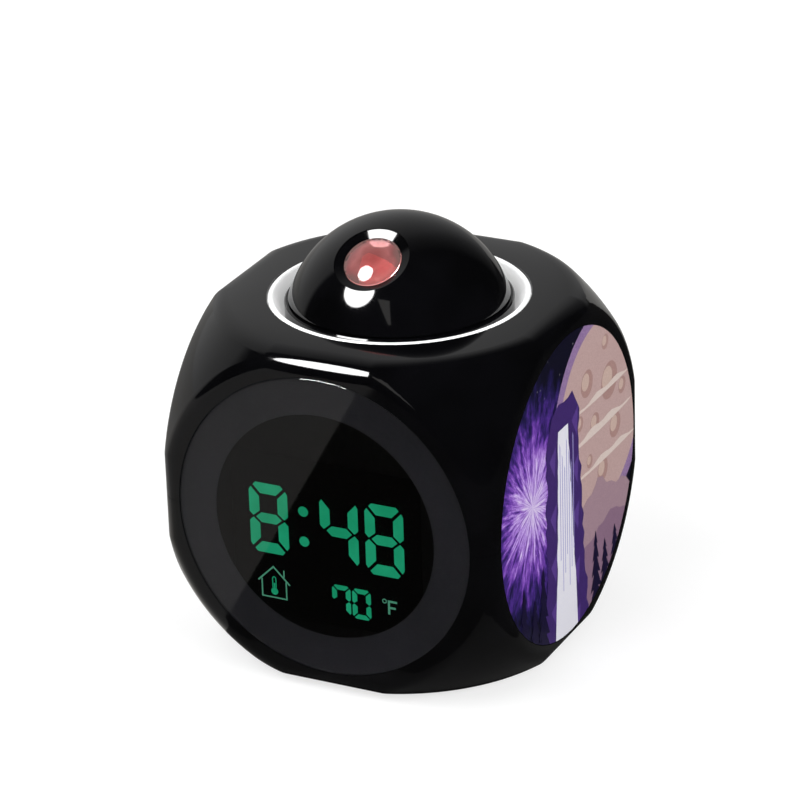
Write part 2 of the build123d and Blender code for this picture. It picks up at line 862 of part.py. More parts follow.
# ---- Collar ------------------------------------------------------------------------------------
with BuildPart() as press_collar:
    with BuildSketch(Plane.XY.offset(collar_bottom)):
        Circle(collar_radius)
        Circle(collar_inner, mode=Mode.SUBTRACT)
    extrude(amount=collar_top - collar_bottom)
    chamfer(press_collar.edges().group_by(Axis.Z)[-1].sort_by(SortBy.RADIUS)[-1], collar_chamfer)
    with BuildSketch(Plane.XY.offset(collar_bottom)):
        Circle(collar_flange_radius)
        Circle(collar_inner, mode=Mode.SUBTRACT)
    extrude(amount=collar_flange_thickness)
    with BuildSketch(Plane.XY.offset(collar_floor)):
        Circle(collar_inner + cover)
    extrude(amount=collar_floor_thickness)
    with BuildSketch(Plane.XY.offset(hub_bottom)):
        Circle(hub_radius)
    extrude(amount=hub_top - hub_bottom)
    with BuildSketch(Plane.XY.offset(hub_bottom)):
        Circle(axle_radius + running_fit)
    extrude(amount=hub_top - hub_bottom, mode=Mode.SUBTRACT)
    with BuildSketch(Plane.XY.offset(top_z - collar_sleeve_end_drop)):
        with guide_spots():
            Circle(guide_sleeve_radius)
            Circle(guide_post_radius + running_fit, mode=Mode.SUBTRACT)
    extrude(amount=collar_floor - top_z + collar_sleeve_end_drop)
    with BuildSketch(Plane.XY.offset(nib_end)):
        with Locations((0, press_switch_y)):
            Circle(nib_radius)
    extrude(amount=collar_floor - nib_end)

# ---- Dome --------------------------------------------------------------------------------------
skirt_inner = skirt_radius - skirt_wall

with BuildPart(Plane.XY.offset(dome_z)) as dome_hollow_shape:
    Sphere(dome_radius - dome_wall)
    Cylinder(skirt_inner, 4 * dome_radius, mode=Mode.INTERSECT)

with BuildPart(Plane.XY.offset(dome_z)) as dome_ball:
    Sphere(dome_radius)

with BuildPart(Plane.XY.offset(dome_z)) as dome_wall_middle:
    Sphere(dome_radius - dome_wall / 2)

# Screw bosses under the crown and a tube for the projector, all ending inside the wall.
with BuildPart() as dome_inserts:
    with BuildSketch(Plane.XY.offset(skirt_bottom)):
        with dome_screw_spots():
            Circle(dome_boss_radius)
    extrude(amount=dome_radius)
    with BuildSketch(beam_plane.offset(tube_end)):
        Circle(tube_radius)
    extrude(amount=dome_radius)
    add(dome_wall_middle.part, mode=Mode.INTERSECT)

with BuildPart() as dome:
    add(dome_ball.part)
    split(bisect_by=Plane.XY.offset(dome_rim), keep=Keep.TOP)
    with BuildSketch(Plane.XY.offset(skirt_bottom)):
        Circle(skirt_radius)
    extrude(amount=skirt_length + cover)
    add(dome_hollow_shape.part, mode=Mode.SUBTRACT)
    with BuildSketch(Plane.XY.offset(skirt_bottom)):
        Circle(skirt_inner)
    extrude(amount=skirt_length, mode=Mode.SUBTRACT)
    add(dome_inserts.part)
    with BuildSketch(Plane.XY.offset(skirt_bottom)):
        with dome_screw_spots():
            Circle(small_screw_radius + thread_fit)
    extrude(amount=small_screw_length, mode=Mode.SUBTRACT)
    with BuildSketch(beam_plane.offset(tube_end)):
        Circle(tube_bore)
    extrude(amount=dome_radius, mode=Mode.SUBTRACT)

with BuildPart() as dome_base:
    with BuildSketch(Plane.XY.offset(dome_base_bottom)):
        Circle(dome_base_radius)
        Circle(axle_bore, mode=Mode.SUBTRACT)
        with dome_screw_spots():
            Circle(small_screw_radius + pocket_fit, mode=Mode.SUBTRACT)
    extrude(amount=dome_base_thickness)
    with BuildSketch(Plane.XY.offset(axle_bottom)):
        Circle(axle_radius)
        Circle(axle_bore, mode=Mode.SUBTRACT)
    extrude(amount=dome_base_bottom - axle_bottom)
    with BuildSketch(Plane.XY.offset(dome_base_bottom)):
        with dome_screw_spots():
            Circle(small_head_radius + pocket_fit)
    extrude(amount=small_head_height, mode=Mode.SUBTRACT)
    with BuildSketch(Plane.XY.offset(hub_bottom - thrust_gap)):
        Circle(axle_radius)
        Circle(axle_radius - clip_groove_depth, mode=Mode.SUBTRACT)
    extrude(amount=-clip_thickness, mode=Mode.SUBTRACT)

with BuildPart() as axle_clip:
    with BuildSketch(Plane.XY.offset(hub_bottom - thrust_gap)):
        Circle(clip_radius)
        Circle(axle_radius - clip_groove_depth, mode=Mode.SUBTRACT)
        with Locations((0, -clip_radius / 2)):
            Rectangle(clip_mouth, clip_radius, mode=Mode.SUBTRACT)
    extrude(amount=-clip_thickness)

# ---- Projector ---------------------------------------------------------------------------------
lens_sag = lens_curve - math.sqrt(lens_curve ** 2 - lens_aperture ** 2)
lens_rim = lens_apex - lens_sag
lens_back = lens_rim - lens_edge
barrel_bore = lens_aperture - barrel_wall / 2
bezel_edge = math.sqrt(dome_radius ** 2 - bezel_radius ** 2) - cover / 2

with BuildPart() as projection_lens:
    with BuildSketch(beam_section):
        with BuildLine():
            Polyline((0, lens_apex), (0, lens_back), (lens_aperture, lens_back), (lens_aperture, lens_rim))
            RadiusArc((lens_aperture, lens_rim), (0, lens_apex), -lens_curve)
        make_face()
    revolve(axis=beam_axis)

bezel_body = turned(beam_section, beam_axis, (
    (lens_aperture + disc_fit, bezel_recess), (bezel_radius, bezel_edge),
    (bezel_radius, lens_back), (lens_aperture + disc_fit, lens_back)))

with BuildPart() as lens_bezel:
    add(bezel_body)

barrel_outer = tube_bore - disc_fit
barrel_body = turned(beam_section, beam_axis, (
    (barrel_bore, lens_back), (barrel_outer, lens_back), (barrel_outer, tube_end),
    (barrel_flange_radius, tube_end), (barrel_flange_radius, tube_end - barrel_wall),
    (barrel_bore + barrel_wall, tube_end - barrel_wall), (barrel_bore + barrel_wall, barrel_end),
    (barrel_bore, barrel_end)))

with BuildPart() as projector_barrel:
    add(barrel_body)
    with BuildSketch(beam_plane.offset(slide_seat)):
        Rectangle(slide_size + 2 * disc_fit, slide_size + 2 * disc_fit)
    extrude(amount=slide_thickness, mode=Mode.SUBTRACT)

with BuildPart() as image_slide:
    with BuildSketch(beam_plane.offset(slide_seat)):
        Rectangle(slide_size, slide_size)
    extrude(amount=slide_thickness)

with BuildPart() as condenser:
    with BuildSketch(beam_plane.offset(condenser_seat)):
        Circle(barrel_bore - disc_fit)
    extrude(amount=condenser_thickness)
    fillet(condenser.edges().group_by(Axis(dome_middle, beam))[-1], condenser_thickness / 2)

with BuildPart() as led_board:
    with BuildSketch(beam_plane.offset(barrel_end)):
        Circle(led_board_radius)
    extrude(amount=-led_board_thickness)

with BuildPart() as projector_led:
    with BuildSketch(beam_plane.offset(barrel_end)):
        Circle(led_radius)
    extrude(amount=condenser_seat - barrel_end - thrust_gap)
    fillet(projector_led.edges().group_by(Axis(dome_middle, beam))[-1], led_radius / 3)

# ---- Battery bay: cells, contacts, springs and the door ----------------------------------------
cell_rows = ((-cell_pitch, 1), (0, -1), (cell_pitch, 1))

with BuildPart() as cells:
    for row_y, way in cell_rows:
        cell_foot = way * (cell_shift - cell_length / 2)
        with BuildSketch(Plane(origin=(cell_foot, row_y, cell_z), z_dir=(way, 0, 0))):
            Circle(cell_radius)
        extrude(amount=cell_length - cell_nub_length)
        with BuildSketch(Plane(origin=(cell_foot, row_y, cell_z), z_dir=(way, 0, 0))):
            Circle(cell_nub_radius)
        extrude(amount=cell_length)

with BuildPart() as cell_contacts:
    for row_y, way in cell_rows:
        for end in (-1, 1):
            with BuildSketch(Plane(origin=(end * bay_length / 2, row_y, cell_z), z_dir=(-end, 0, 0))):
                Rectangle(contact_width, contact_height)
            extrude(amount=contact_thickness)
        with BuildSketch(Plane(origin=(way * bay_length / 2, row_y, cell_z), z_dir=(-way, 0, 0))):
            Circle(cell_nub_radius)
        extrude(amount=contact_thickness + contact_dimple)

cell_spring_body = coil(cell_spring_radius, cell_spring_wire, cell_spring_length, cell_spring_turns)

with BuildPart() as cell_springs:
    for row_y, way in cell_rows:
        seat = Plane(origin=(way * (contact_thickness - bay_length / 2), row_y, cell_z), z_dir=(way, 0, 0))
        with Locations(seat):
            add(cell_spring_body)

tab_bottom = floor_z + door_tab_lift
tab_rise = tab_bottom + door_tab_thickness - foot_stand - door_thickness
riser_x = -bay_length / 2 + door_fit
latch_x = slot_end - door_fit - latch_barb - latch_thickness

with BuildPart() as battery_door:
    with BuildSketch(Plane.XY.offset(foot_stand)):
        Rectangle(door_length, door_width)
        with Locations(((door_length / 2 + slot_end - door_fit) / 2 - cover / 2, 0)):
            Rectangle(slot_end - door_fit - door_length / 2 + cover, latch_width)
    extrude(amount=door_thickness)
    for side in (-1, 1):
        with BuildSketch(Plane.XY.offset(foot_stand + door_thickness)):
            with Locations((riser_x + door_riser / 2, side * tab_y)):
                Rectangle(door_riser, door_tab_width)
        extrude(amount=tab_rise)
        with BuildSketch(Plane.XY.offset(tab_bottom)):
            with Locations(((door_hinge_x - door_tab_reach + riser_x + door_riser) / 2, side * tab_y)):
                Rectangle(riser_x + door_riser - door_hinge_x + door_tab_reach, door_tab_width)
        extrude(amount=door_tab_thickness)
    with BuildSketch(Plane.XY.offset(foot_stand + door_thickness)):
        with Locations((latch_x + latch_thickness / 2, 0)):
            Rectangle(latch_thickness, latch_width)
    extrude(amount=latch_height)
    with BuildSketch(Plane.XY.offset(tab_bottom)):
        with Locations((latch_x + latch_thickness + latch_barb / 2, 0)):
            Rectangle(latch_barb, latch_width)
    extrude(amount=door_tab_thickness)

# ---- Feet --------------------------------------------------------------------------------------
with BuildPart() as feet:
    with BuildSketch(Plane.XY):
        with foot_spots():
            Circle(foot_radius)
    extrude(amount=foot_stand + foot_pocket)
    fillet(feet.edges().group_by(Axis.Z)[0], foot_round)

# ---- Screws, one node for each set -------------------------------------------------------------
pillar_screw_length = ring_ear_top - deck_top + deck_thickness + pillar_screw_bite
case_screw = screw(screw_head_radius, screw_head_height, case_screw_radius, case_screw_length)
small_screw = screw(small_head_radius, small_head_height, small_screw_radius, small_screw_length)
pillar_screw = screw(small_head_radius, small_head_height, small_screw_radius, pillar_screw_length)

# Each plane stands on a screw's seat and looks the way that its head does.
upside_down = Plane(origin=(0, 0, 0), x_dir=(1, 0, 0), z_dir=(0, 0, -1))
inward_from_front = Plane(origin=(0, -half_width, mid_z), x_dir=(1, 0, 0), z_dir=(0, 1, 0))
inward_from_back = Plane(origin=(0, half_width, mid_z), x_dir=(1, 0, 0), z_dir=(0, -1, 0))

with BuildPart() as case_screws:
    with Locations(upside_down.offset(case_sleeve_seat - mid_z)):
        with case_screw_spots():
            add(case_screw)

with BuildPart() as pillar_screws:
    with Locations(upside_down.offset(deck_thickness - deck_top)):
        with ring_screw_spots():
            add(pillar_screw)

with BuildPart() as dome_screws:
    with Locations(upside_down.offset(-dome_base_bottom - small_head_height)):
        with PolarLocations(dome_boss_circle, 3, -90):
            add(small_screw)

with BuildPart() as frame_screws:
    with Locations(inward_from_front.offset(board_front)):
        with PolarLocations(frame_screw_circle, 3, -frame_screw_angle,
                            2 * frame_screw_angle - 180, endpoint=True):
            add(small_screw)

with BuildPart() as board_screws:
    with Locations(inward_from_front.offset(board_back)):
        with Locations((board_screw_x, -board_screw_rise), (-board_screw_x, -board_screw_rise),
                       (board_screw_x, board_screw_drop), (-board_screw_x, board_screw_drop)):
            add(small_screw)

with BuildPart() as button_board_screws:
    with Locations(inward_from_back.offset(button_board_back)):
        with back_screw_spots():
            add(small_screw)

# ---- Leads inside the case ---------------------------------------------------------------------
socket_y = -half_width + board_back + socket_depth
side_socket_z = mid_z - side_socket_drop
top_socket_z = mid_z + top_socket_rise
lead_spread = 1.2
cell_lead_y = -10.0
cell_lead_rise = 5.0
cell_lead_bend = 1.8
speaker_lead_x = -10.0
speaker_lead_straight = 15.0
speaker_lead_bend = 9.0
projector_lead_bend = 10.0

bay_roof = bay_top + bay_wall
cell_lead_bodies = [
    lead(((side_socket_x + side * lead_spread, cell_lead_y, bay_roof),
          (side_socket_x + side * lead_spread, cell_lead_y, bay_roof + cell_lead_rise),
          (side_socket_x + side * lead_spread, (cell_lead_y + socket_y) / 2, side_socket_z),
          (side_socket_x + side * lead_spread, socket_y, side_socket_z)), cell_lead_bend)
    for side in (-1, 1)]

with BuildPart() as cell_leads:
    add(cell_lead_bodies)

speaker_lead_y = speaker_middle.Y - basket_depth / 2 - lead_radius / 2
speaker_lead_bodies = [
    lead(((speaker_lead_x + side * lead_spread / 2, speaker_lead_y, speaker_middle.Z),
          (speaker_lead_x + side * lead_spread / 2, speaker_lead_y - speaker_lead_straight,
           speaker_middle.Z),
          (-side_socket_x + side * lead_spread, 0, side_socket_z),
          (-side_socket_x + side * lead_spread, socket_y, side_socket_z)), speaker_lead_bend)
    for side in (-1, 1)]

with BuildPart() as speaker_leads:
    add(speaker_lead_bodies)

with BuildPart() as projector_lead:
    with BuildLine() as projector_route:
        FilletPolyline((0, socket_y, top_socket_z), (0, 0, top_socket_z), (0, 0, skirt_bottom),
                       radius=projector_lead_bend)
    with BuildSketch(Plane(projector_route.line @ 0, z_dir=projector_route.line % 0)):
        Circle(2 * lead_radius)
    sweep()

# ---- Write every piece -------------------------------------------------------------------------
save(upper_shell, "upper_shell")
save(lower_shell, "lower_shell")
save(front_lens, "front_lens")
save(display_mask, "display_mask")
save(display_glass, "display_glass")
save(light_guide, "light_guide")
save(zebra_strip, "zebra_strip")
save(display_frame, "display_frame")
save(main_board, "main_board")
save(processor, "processor")
save(capacitors, "capacitors")
save(crystal, "crystal")
save(thermistor, "thermistor")
save(lead_sockets, "lead_sockets")
save(right_disc, "right_disc")
save(left_disc, "left_disc")
save(back_panel, "back_panel")
save(button_switches, "button_switches")
save(button_board, "button_board")
save(speaker_basket, "speaker_basket")
save(speaker_magnet, "speaker_magnet")
save(speaker_cone, "speaker_cone")
save(light_ring, "light_ring")
save(deck, "deck")
save(return_spring, "return_spring")
save(press_switch, "press_switch")
save(press_collar, "press_collar")
save(dome, "dome")
save(dome_base, "dome_base")
save(axle_clip, "axle_clip")
save(projection_lens, "projection_lens")
save(lens_bezel, "lens_bezel")
save(projector_barrel, "projector_barrel")
save(image_slide, "image_slide")
save(condenser, "condenser")
save(led_board, "led_board")
save(projector_led, "projector_led")
save(cells, "cells")
save(cell_contacts, "cell_contacts")
save(cell_springs, "cell_springs")
save(battery_door, "battery_door")
save(feet, "feet")
save(case_screws, "case_screws")
save(pillar_screws, "pillar_screws")
save(dome_screws, "dome_screws")
save(frame_screws, "frame_screws")
save(board_screws, "board_screws")
save(button_board_screws, "button_board_screws")
save(cell_leads, "cell_leads")
save(speaker_leads, "speaker_leads")
save(projector_lead, "projector_lead")
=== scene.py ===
# %% [markdown]
# # A projection alarm clock in Blender
#
# The clock is a die-shaped case of gloss black plastic. A round smoked lens covers the display
# in front, a printed disc closes each side, and a black dome with a small lens stands in a
# white ring on top. The CAD model already has every solid, so this lesson loads those solids,
# gives each one the finish of its real material, and adds what a CAD model leaves out: the lit
# segments of the display, the printed art of the sides and the marks over the buttons.

import math
import random

import bmesh
import bpy
from mathutils import Matrix, Vector


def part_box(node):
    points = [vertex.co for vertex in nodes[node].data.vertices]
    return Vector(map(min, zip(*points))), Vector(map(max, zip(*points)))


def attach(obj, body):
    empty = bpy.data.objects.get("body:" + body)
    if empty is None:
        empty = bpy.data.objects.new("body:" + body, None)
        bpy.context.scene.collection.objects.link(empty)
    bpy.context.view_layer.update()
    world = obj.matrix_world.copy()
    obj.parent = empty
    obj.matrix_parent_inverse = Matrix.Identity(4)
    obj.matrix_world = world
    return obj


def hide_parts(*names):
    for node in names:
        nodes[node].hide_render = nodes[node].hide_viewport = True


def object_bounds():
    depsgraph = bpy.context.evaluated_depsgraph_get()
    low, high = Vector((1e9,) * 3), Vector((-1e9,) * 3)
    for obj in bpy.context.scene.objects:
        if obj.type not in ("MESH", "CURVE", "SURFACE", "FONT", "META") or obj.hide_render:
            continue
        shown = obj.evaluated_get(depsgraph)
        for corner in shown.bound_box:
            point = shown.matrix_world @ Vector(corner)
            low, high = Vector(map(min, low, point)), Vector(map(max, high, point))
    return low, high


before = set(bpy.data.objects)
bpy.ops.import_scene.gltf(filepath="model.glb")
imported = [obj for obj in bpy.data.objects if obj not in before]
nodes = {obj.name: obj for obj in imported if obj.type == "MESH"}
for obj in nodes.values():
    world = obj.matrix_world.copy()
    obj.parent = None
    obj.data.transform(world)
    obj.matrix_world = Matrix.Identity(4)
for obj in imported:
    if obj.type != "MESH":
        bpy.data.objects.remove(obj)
cad_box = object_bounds()
print("pieces from CAD:", len(nodes))

# %% [markdown]
# ## Millimetres, colours and nodes
#
# Blender counts in metres, and a maker thinks in millimetres, so one constant turns the one
# into the other. Colours are written as the sRGB hex codes that a paint chart would give, and
# one function turns them into the linear numbers that a shader needs. One more function adds
# a shader node together with its settings and its links, which keeps each material short
# enough to read like a recipe.

# %% Units, colours and one node helper
MM = 0.001


def srgb(code):
    """Linear red, green, blue and alpha of an sRGB hex code."""
    shares = [int(code[i:i + 2], 16) / 255 for i in (1, 3, 5)]
    linear = [s / 12.92 if s <= 0.04045 else ((s + 0.055) / 1.055) ** 2.4 for s in shares]
    return (*linear, 1.0)


def add_node(tree, kind, settings=None, feeds=None):
    """Add a node: settings are its own properties, feeds are values or sockets for its inputs."""
    made = tree.nodes.new(kind)
    for name, value in (settings or {}).items():
        setattr(made, name, value)
    for name, value in (feeds or {}).items():
        if isinstance(value, bpy.types.NodeSocket):
            tree.links.new(value, made.inputs[name])
        else:
            made.inputs[name].default_value = value
    return made


print("mid grey in linear light:", round(srgb("#808080")[0], 3))

# %% [markdown]
# ## How a finish is put together
#
# Every finish starts in the same way: a Principled shader, the output, and the place on the
# object in metres. Real surfaces are never one flat colour, so most finishes mix two close
# tones by a fine noise, and let the same noise raise and lower the surface by a few microns.
# Image textures could do this too, but a noise needs no unwrapping and stays sharp from close by.
# The size of the noise is always a real one, in millimetres. A finish takes the values of its
# shader by name, with an underscore for each space.

# %% Start a finish, mottle it and give it a grain
def start_finish(name, **surface):
    """A material with one Principled shader; surface gives the shader's own values."""
    made = bpy.data.materials.new(name)
    made.use_nodes = True
    tree = made.node_tree
    tree.nodes.clear()
    place = add_node(tree, "ShaderNodeTexCoord").outputs["Object"]
    feeds = {key.replace("_", " "): value for key, value in surface.items()}
    shader = add_node(tree, "ShaderNodeBsdfPrincipled", None, feeds)
    add_node(tree, "ShaderNodeOutputMaterial", None, {"Surface": shader.outputs["BSDF"]})
    return made, tree, shader, place


def set_tones(ramp, first, last, between=()):
    """Give a colour ramp its (position, colour) stops."""
    for stop, (position, colour) in zip(ramp.elements, (first, last)):
        stop.position, stop.color = position, colour
    for position, colour in between:
        ramp.elements.new(position).color = colour


def mottle(tree, place, grain_mm, dark, light, detail=3.0, low=0.35, high=0.65):
    """Two tones mixed by a noise whose lumps are grain_mm across."""
    noise = add_node(tree, "ShaderNodeTexNoise", None,
                     {"Vector": place, "Scale": 1 / (grain_mm * MM), "Detail": detail})
    ramp = add_node(tree, "ShaderNodeValToRGB", None, {"Fac": noise.outputs["Fac"]})
    set_tones(ramp.color_ramp, (low, dark), (high, light))
    return ramp.outputs["Color"], noise.outputs["Fac"]


def mottled_skin(tree, shader, place, dark, light, grain_mm, depth_mm, detail=3.0, way=None):
    """Mottle the colour of a shader, and let the same noise stand depth_mm out of the surface.

    way is the direction of the surface, where that isn't the mesh's own.
    """
    colour, height = mottle(tree, place, grain_mm, srgb(dark), srgb(light), detail)
    tree.links.new(colour, shader.inputs["Base Color"])
    bump = add_node(tree, "ShaderNodeBump", None, {"Height": height, "Distance": depth_mm * MM})
    if way:
        tree.links.new(way, bump.inputs["Normal"])
    tree.links.new(bump.outputs["Normal"], shader.inputs["Normal"])


def plain_finish(name, dark, light, grain_mm, depth_mm, **surface):
    """The everyday recipe: two close tones and a fine grain."""
    made, tree, shader, place = start_finish(name, **surface)
    mottled_skin(tree, shader, place, dark, light, grain_mm, depth_mm)
    return made


print("a lump of 12 mm is a noise scale of", round(1 / (12 * MM), 1))

# %% [markdown]
# ## Sums in a shader
#
# A shader does its sums with one node for each step, and a formula soon needs twenty of them.
# Written as a list, with the name of each result, its operation and its terms, such a chain can
# be read and changed as easily as a formula on paper. A loop then adds the nodes. Most of them
# give their result at their first output, and a dot product gives its number at the second.

# %% A list of sums
def work_out(tree, kind, known, sums):
    """Add a node for each sum: the name of its result, its operation and its terms.

    A term is a number, a vector, or the name of a known value or of an earlier result.
    """
    values = dict(known)
    for name, operation, *terms in sums:
        feeds = {i: values[term] if isinstance(term, str) else term for i, term in enumerate(terms)}
        step = add_node(tree, kind, {"operation": operation}, feeds)
        values[name] = step.outputs[1 if operation == "DOT_PRODUCT" else 0]
    return values


print("a sum is written as", ("area", "MULTIPLY", "width", "height"))

# %% [markdown]
# ## Gloss black ABS, injection moulded in a polished mould
#
# The case and the dome come out of a mirror-polished steel mould. The eye gets a deep black
# with sharp reflections, bent very slightly where the plastic sank as it cooled. That waviness
# is some 12 mm long and only microns deep, so it goes into the relief, never into the colour.
# The two shells are also slightly bowed, because a flat or straight moulding would look hollow:
# each face curves away towards its edges, and each edge curves away towards its ends. The bow is
# too shallow to change the outline, but it tapers the reflections, so the finish tilts the
# surface's own direction outwards. Faces tilt with the fifth power of the distance from their
# middle, so they stay flat nearly to the edge, and edges tilt evenly along their length. What
# counts as a face comes from the eighth powers of the direction, what counts as an edge from
# the products of its squares.

# %% Gloss black ABS
FACE_BOW_MM = 54.0
EDGE_BOW_MM = 92.0
SINK_WAVE_MM = 12.0


def bowed(tree, place):
    """The direction of the surface, as if the faces and the edges of the case were bowed."""
    middle = (cad_box[0] + cad_box[1]) / 2
    ones = (1.0, 1.0, 1.0)
    face_bend = (1 / (FACE_BOW_MM * MM),) * 3
    edge_bend = (2 / (EDGE_BOW_MM * MM),) * 3
    own = add_node(tree, "ShaderNodeNewGeometry").outputs["Normal"]
    values = work_out(tree, "ShaderNodeVectorMath", {"place": place, "own": own}, (
        ("out", "SUBTRACT", "place", middle),
        ("height", "DOT_PRODUCT", "out", "own"),
        ("level", "MULTIPLY", "own", "height"),
        ("aside", "SUBTRACT", "out", "level"),
        ("second", "MULTIPLY", "own", "own"),
        ("fourth", "MULTIPLY", "second", "second"),
        ("eighth", "MULTIPLY", "fourth", "fourth"),
        ("all_eighths", "DOT_PRODUCT", "eighth", ones),
        ("on_face", "SUBTRACT", "all_eighths", "eighth"),
        ("share", "MULTIPLY", "aside", face_bend),
        ("share_2", "MULTIPLY", "share", "share"),
        ("share_4", "MULTIPLY", "share_2", "share_2"),
        ("share_5", "MULTIPLY", "share_4", "share"),
        ("face_tilt", "MULTIPLY", "on_face", "share_5"),
        ("others", "SUBTRACT", ones, "second"),
        ("others_2", "MULTIPLY", "others", "others"),
        ("all_squares", "ADD", "others_2", "fourth"),
        ("all_fourths", "DOT_PRODUCT", "fourth", ones),
        ("on_edge", "SUBTRACT", "all_squares", "all_fourths"),
        ("edge_share", "MULTIPLY", "aside", edge_bend),
        ("edge_tilt", "MULTIPLY", "on_edge", "edge_share"),
        ("tilt", "ADD", "face_tilt", "edge_tilt"),
        ("tilted", "ADD", "own", "tilt"),
        ("bowed", "NORMALIZE", "tilted"),
    ))
    return values["bowed"]


def gloss_black(name, is_bowed=False):
    """Mirror-polished black ABS."""
    made, tree, shader, place = start_finish(name, Roughness=0.06, IOR=1.5)
    mottled_skin(tree, shader, place, "#050506", "#08080a", SINK_WAVE_MM, 0.004, detail=1.0,
                 way=bowed(tree, place) if is_bowed else None)
    return made


gloss_abs = gloss_black("abs_black_polished_mould")
bowed_abs = gloss_black("abs_black_polished_bowed", is_bowed=True)
print("nodes in the bowed finish:", len(bowed_abs.node_tree.nodes))

# %% [markdown]
# ## Matt black ABS, moulded with a spark-eroded texture
#
# Inner frames, the deck and the speaker's basket are never polished. A fine eroded texture
# scatters the light, so they look charcoal where the gloss case looks black. Its pits are a third
# of a millimetre wide, far too many to model, so they are left to the relief.

# %% Matt black ABS
matt_abs = plain_finish("abs_black_spark_texture", "#161617", "#202022", 0.35, 0.02,
                        Roughness=0.55, IOR=1.5)
print("made", matt_abs.name)

# %% [markdown]
# ## Smoked acrylic and what lies behind it
#
# The front lens is cut from smoked acrylic sheet, which is clear all through but lets only part
# of the light pass. A ring of grey ink is printed on its back, in full contact, so no light gets
# between the two from outside. The ink's lit grey is painted light: a faint light of the ink's
# own stands in for the light that reaches it through the clear sheet. Behind the window lies
# the display's black glass, which is warmer and duller than the case. The sheet could be shaded
# by how far the light travels in it, but it is equally thick all over, so a tinted clear plastic
# gives the same grey at once.

# %% Smoked acrylic, mask ink and display glass
smoked_acrylic, tree, shader, place = start_finish(
    "acrylic_smoked_sheet", Roughness=0.02, IOR=1.49, Transmission_Weight=1.0)
mottled_skin(tree, shader, place, "#8c8a88", "#918f8e", 20.0, 0.001, detail=1.0)

# The ink's faint emission is painted light, standing in for light that reaches it through the lens.
ink_with_painted_glow = plain_finish("ink_grey_screen_printed_painted_glow", "#74767c", "#7a7c82", 0.5, 0.002,
                        Roughness=0.5, IOR=1.5, Emission_Color=srgb("#dfe6ff"),
                        Emission_Strength=0.03)
display_black = plain_finish("glass_liquid_crystal_black", "#060403", "#0a0706", 6.0, 0.001,
                             Roughness=0.25, IOR=1.5)
print("made", smoked_acrylic.name, ink_with_painted_glow.name, display_black.name)

# %% [markdown]
# ## White ABS, clear acrylic and the red parts of the projector
#
# The ring round the dome is gloss white ABS. It gives a little light of its own, which is painted
# light: it keeps the shaded inner wall of the ring as bright as its rim.
#
# The projector's lens is clear acrylic that is dyed a little red, over a red light-emitting diode
# and a small liquid-crystal slide. The diode's light gathers in the lens, so the lens glows in
# rings round its middle, and a noise of 3.5 mm moves the rings a little, as the tool marks of a
# moulded lens do.

# %% White ABS and the projector's finishes
# The white ring's emission is painted light that lifts the shade on its inner wall.
white_abs_painted_glow = plain_finish("abs_white_polished_painted_glow", "#f4f5f5", "#fafafa", 8.0, 0.003,
                         Roughness=0.18, IOR=1.5, Emission_Color=srgb("#ffffff"),
                         Emission_Strength=0.3)
clear_acrylic, tree, shader, place = start_finish(
    "acrylic_clear_red_tint", Roughness=0.04, IOR=1.49, Transmission_Weight=1.0)
mottled_skin(tree, shader, place, "#f6b4b4", "#fbc0c0", 5.0, 0.001, detail=1.0)
lens_low, lens_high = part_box("projection_lens")
from_middle = add_node(tree, "ShaderNodeVectorMath", {"operation": "DISTANCE"},
                       {0: place, 1: (lens_low + lens_high) / 2})
RING_WANDER = (1.6 * MM,) * 3 + (1,)
uneven, _ = mottle(tree, place, 3.5, (0.0, 0.0, 0.0, 1), RING_WANDER, low=0.3, high=0.7)
reach = add_node(tree, "ShaderNodeMath", {"operation": "ADD"},
                 {0: from_middle.outputs["Value"], 1: uneven})
share = add_node(tree, "ShaderNodeMapRange", None, {
    "Value": reach.outputs[0], "From Min": 1.0 * MM, "From Max": 6.6 * MM})
glow = add_node(tree, "ShaderNodeValToRGB", None, {"Fac": share.outputs["Result"]})
set_tones(glow.color_ramp, (0.0, srgb("#a45a58")), (1.0, srgb("#8c7672")), (
    (0.45, srgb("#b06a68")), (0.7, srgb("#c88482")), (0.85, srgb("#a86e6e"))))
tree.links.new(glow.outputs["Color"], shader.inputs["Emission Color"])
shader.inputs["Emission Strength"].default_value = 0.36

red_epoxy = plain_finish("epoxy_red_cast", "#d01a1a", "#e02a24", 1.5, 0.002,
                         Roughness=0.25, IOR=1.52, Emission_Color=srgb("#ff3a30"),
                         Emission_Strength=0.1)
slide_glass = plain_finish("glass_slide_red", "#8e4846", "#9c5452", 1.2, 0.002,
                           Roughness=0.2, IOR=1.5, Emission_Color=srgb("#ff5a50"),
                           Emission_Strength=0.05)
print("the lens glows out to", round((lens_high - lens_low).x / 2 / MM, 1), "mm from its middle")

# %% [markdown]
# ## Finishes that only show when the clock is open
#
# The boards, the loudspeaker, the springs, the cells and the screws each get their own finish
# too, for anyone who takes the case off or looks up from below. Milky acrylic spreads the light
# of the display, and looks like frosted glass. Solder mask is a green lacquer over woven glass,
# with a wet shine and faint lumps. Dispensed epoxy sets in a dull black drop, and undyed nylon
# stays a warm, milky white. Dipped tin and plated nickel are bright, nickel a little yellower.
# Plated zinc is greyer and finer in grain, and drawn spring wire has a harder shine than either.
# Pressed ferrite and pressed paper are dull and grainy, rubber is nearly as dull, and the soft
# PVC round the wires has a slight gloss.

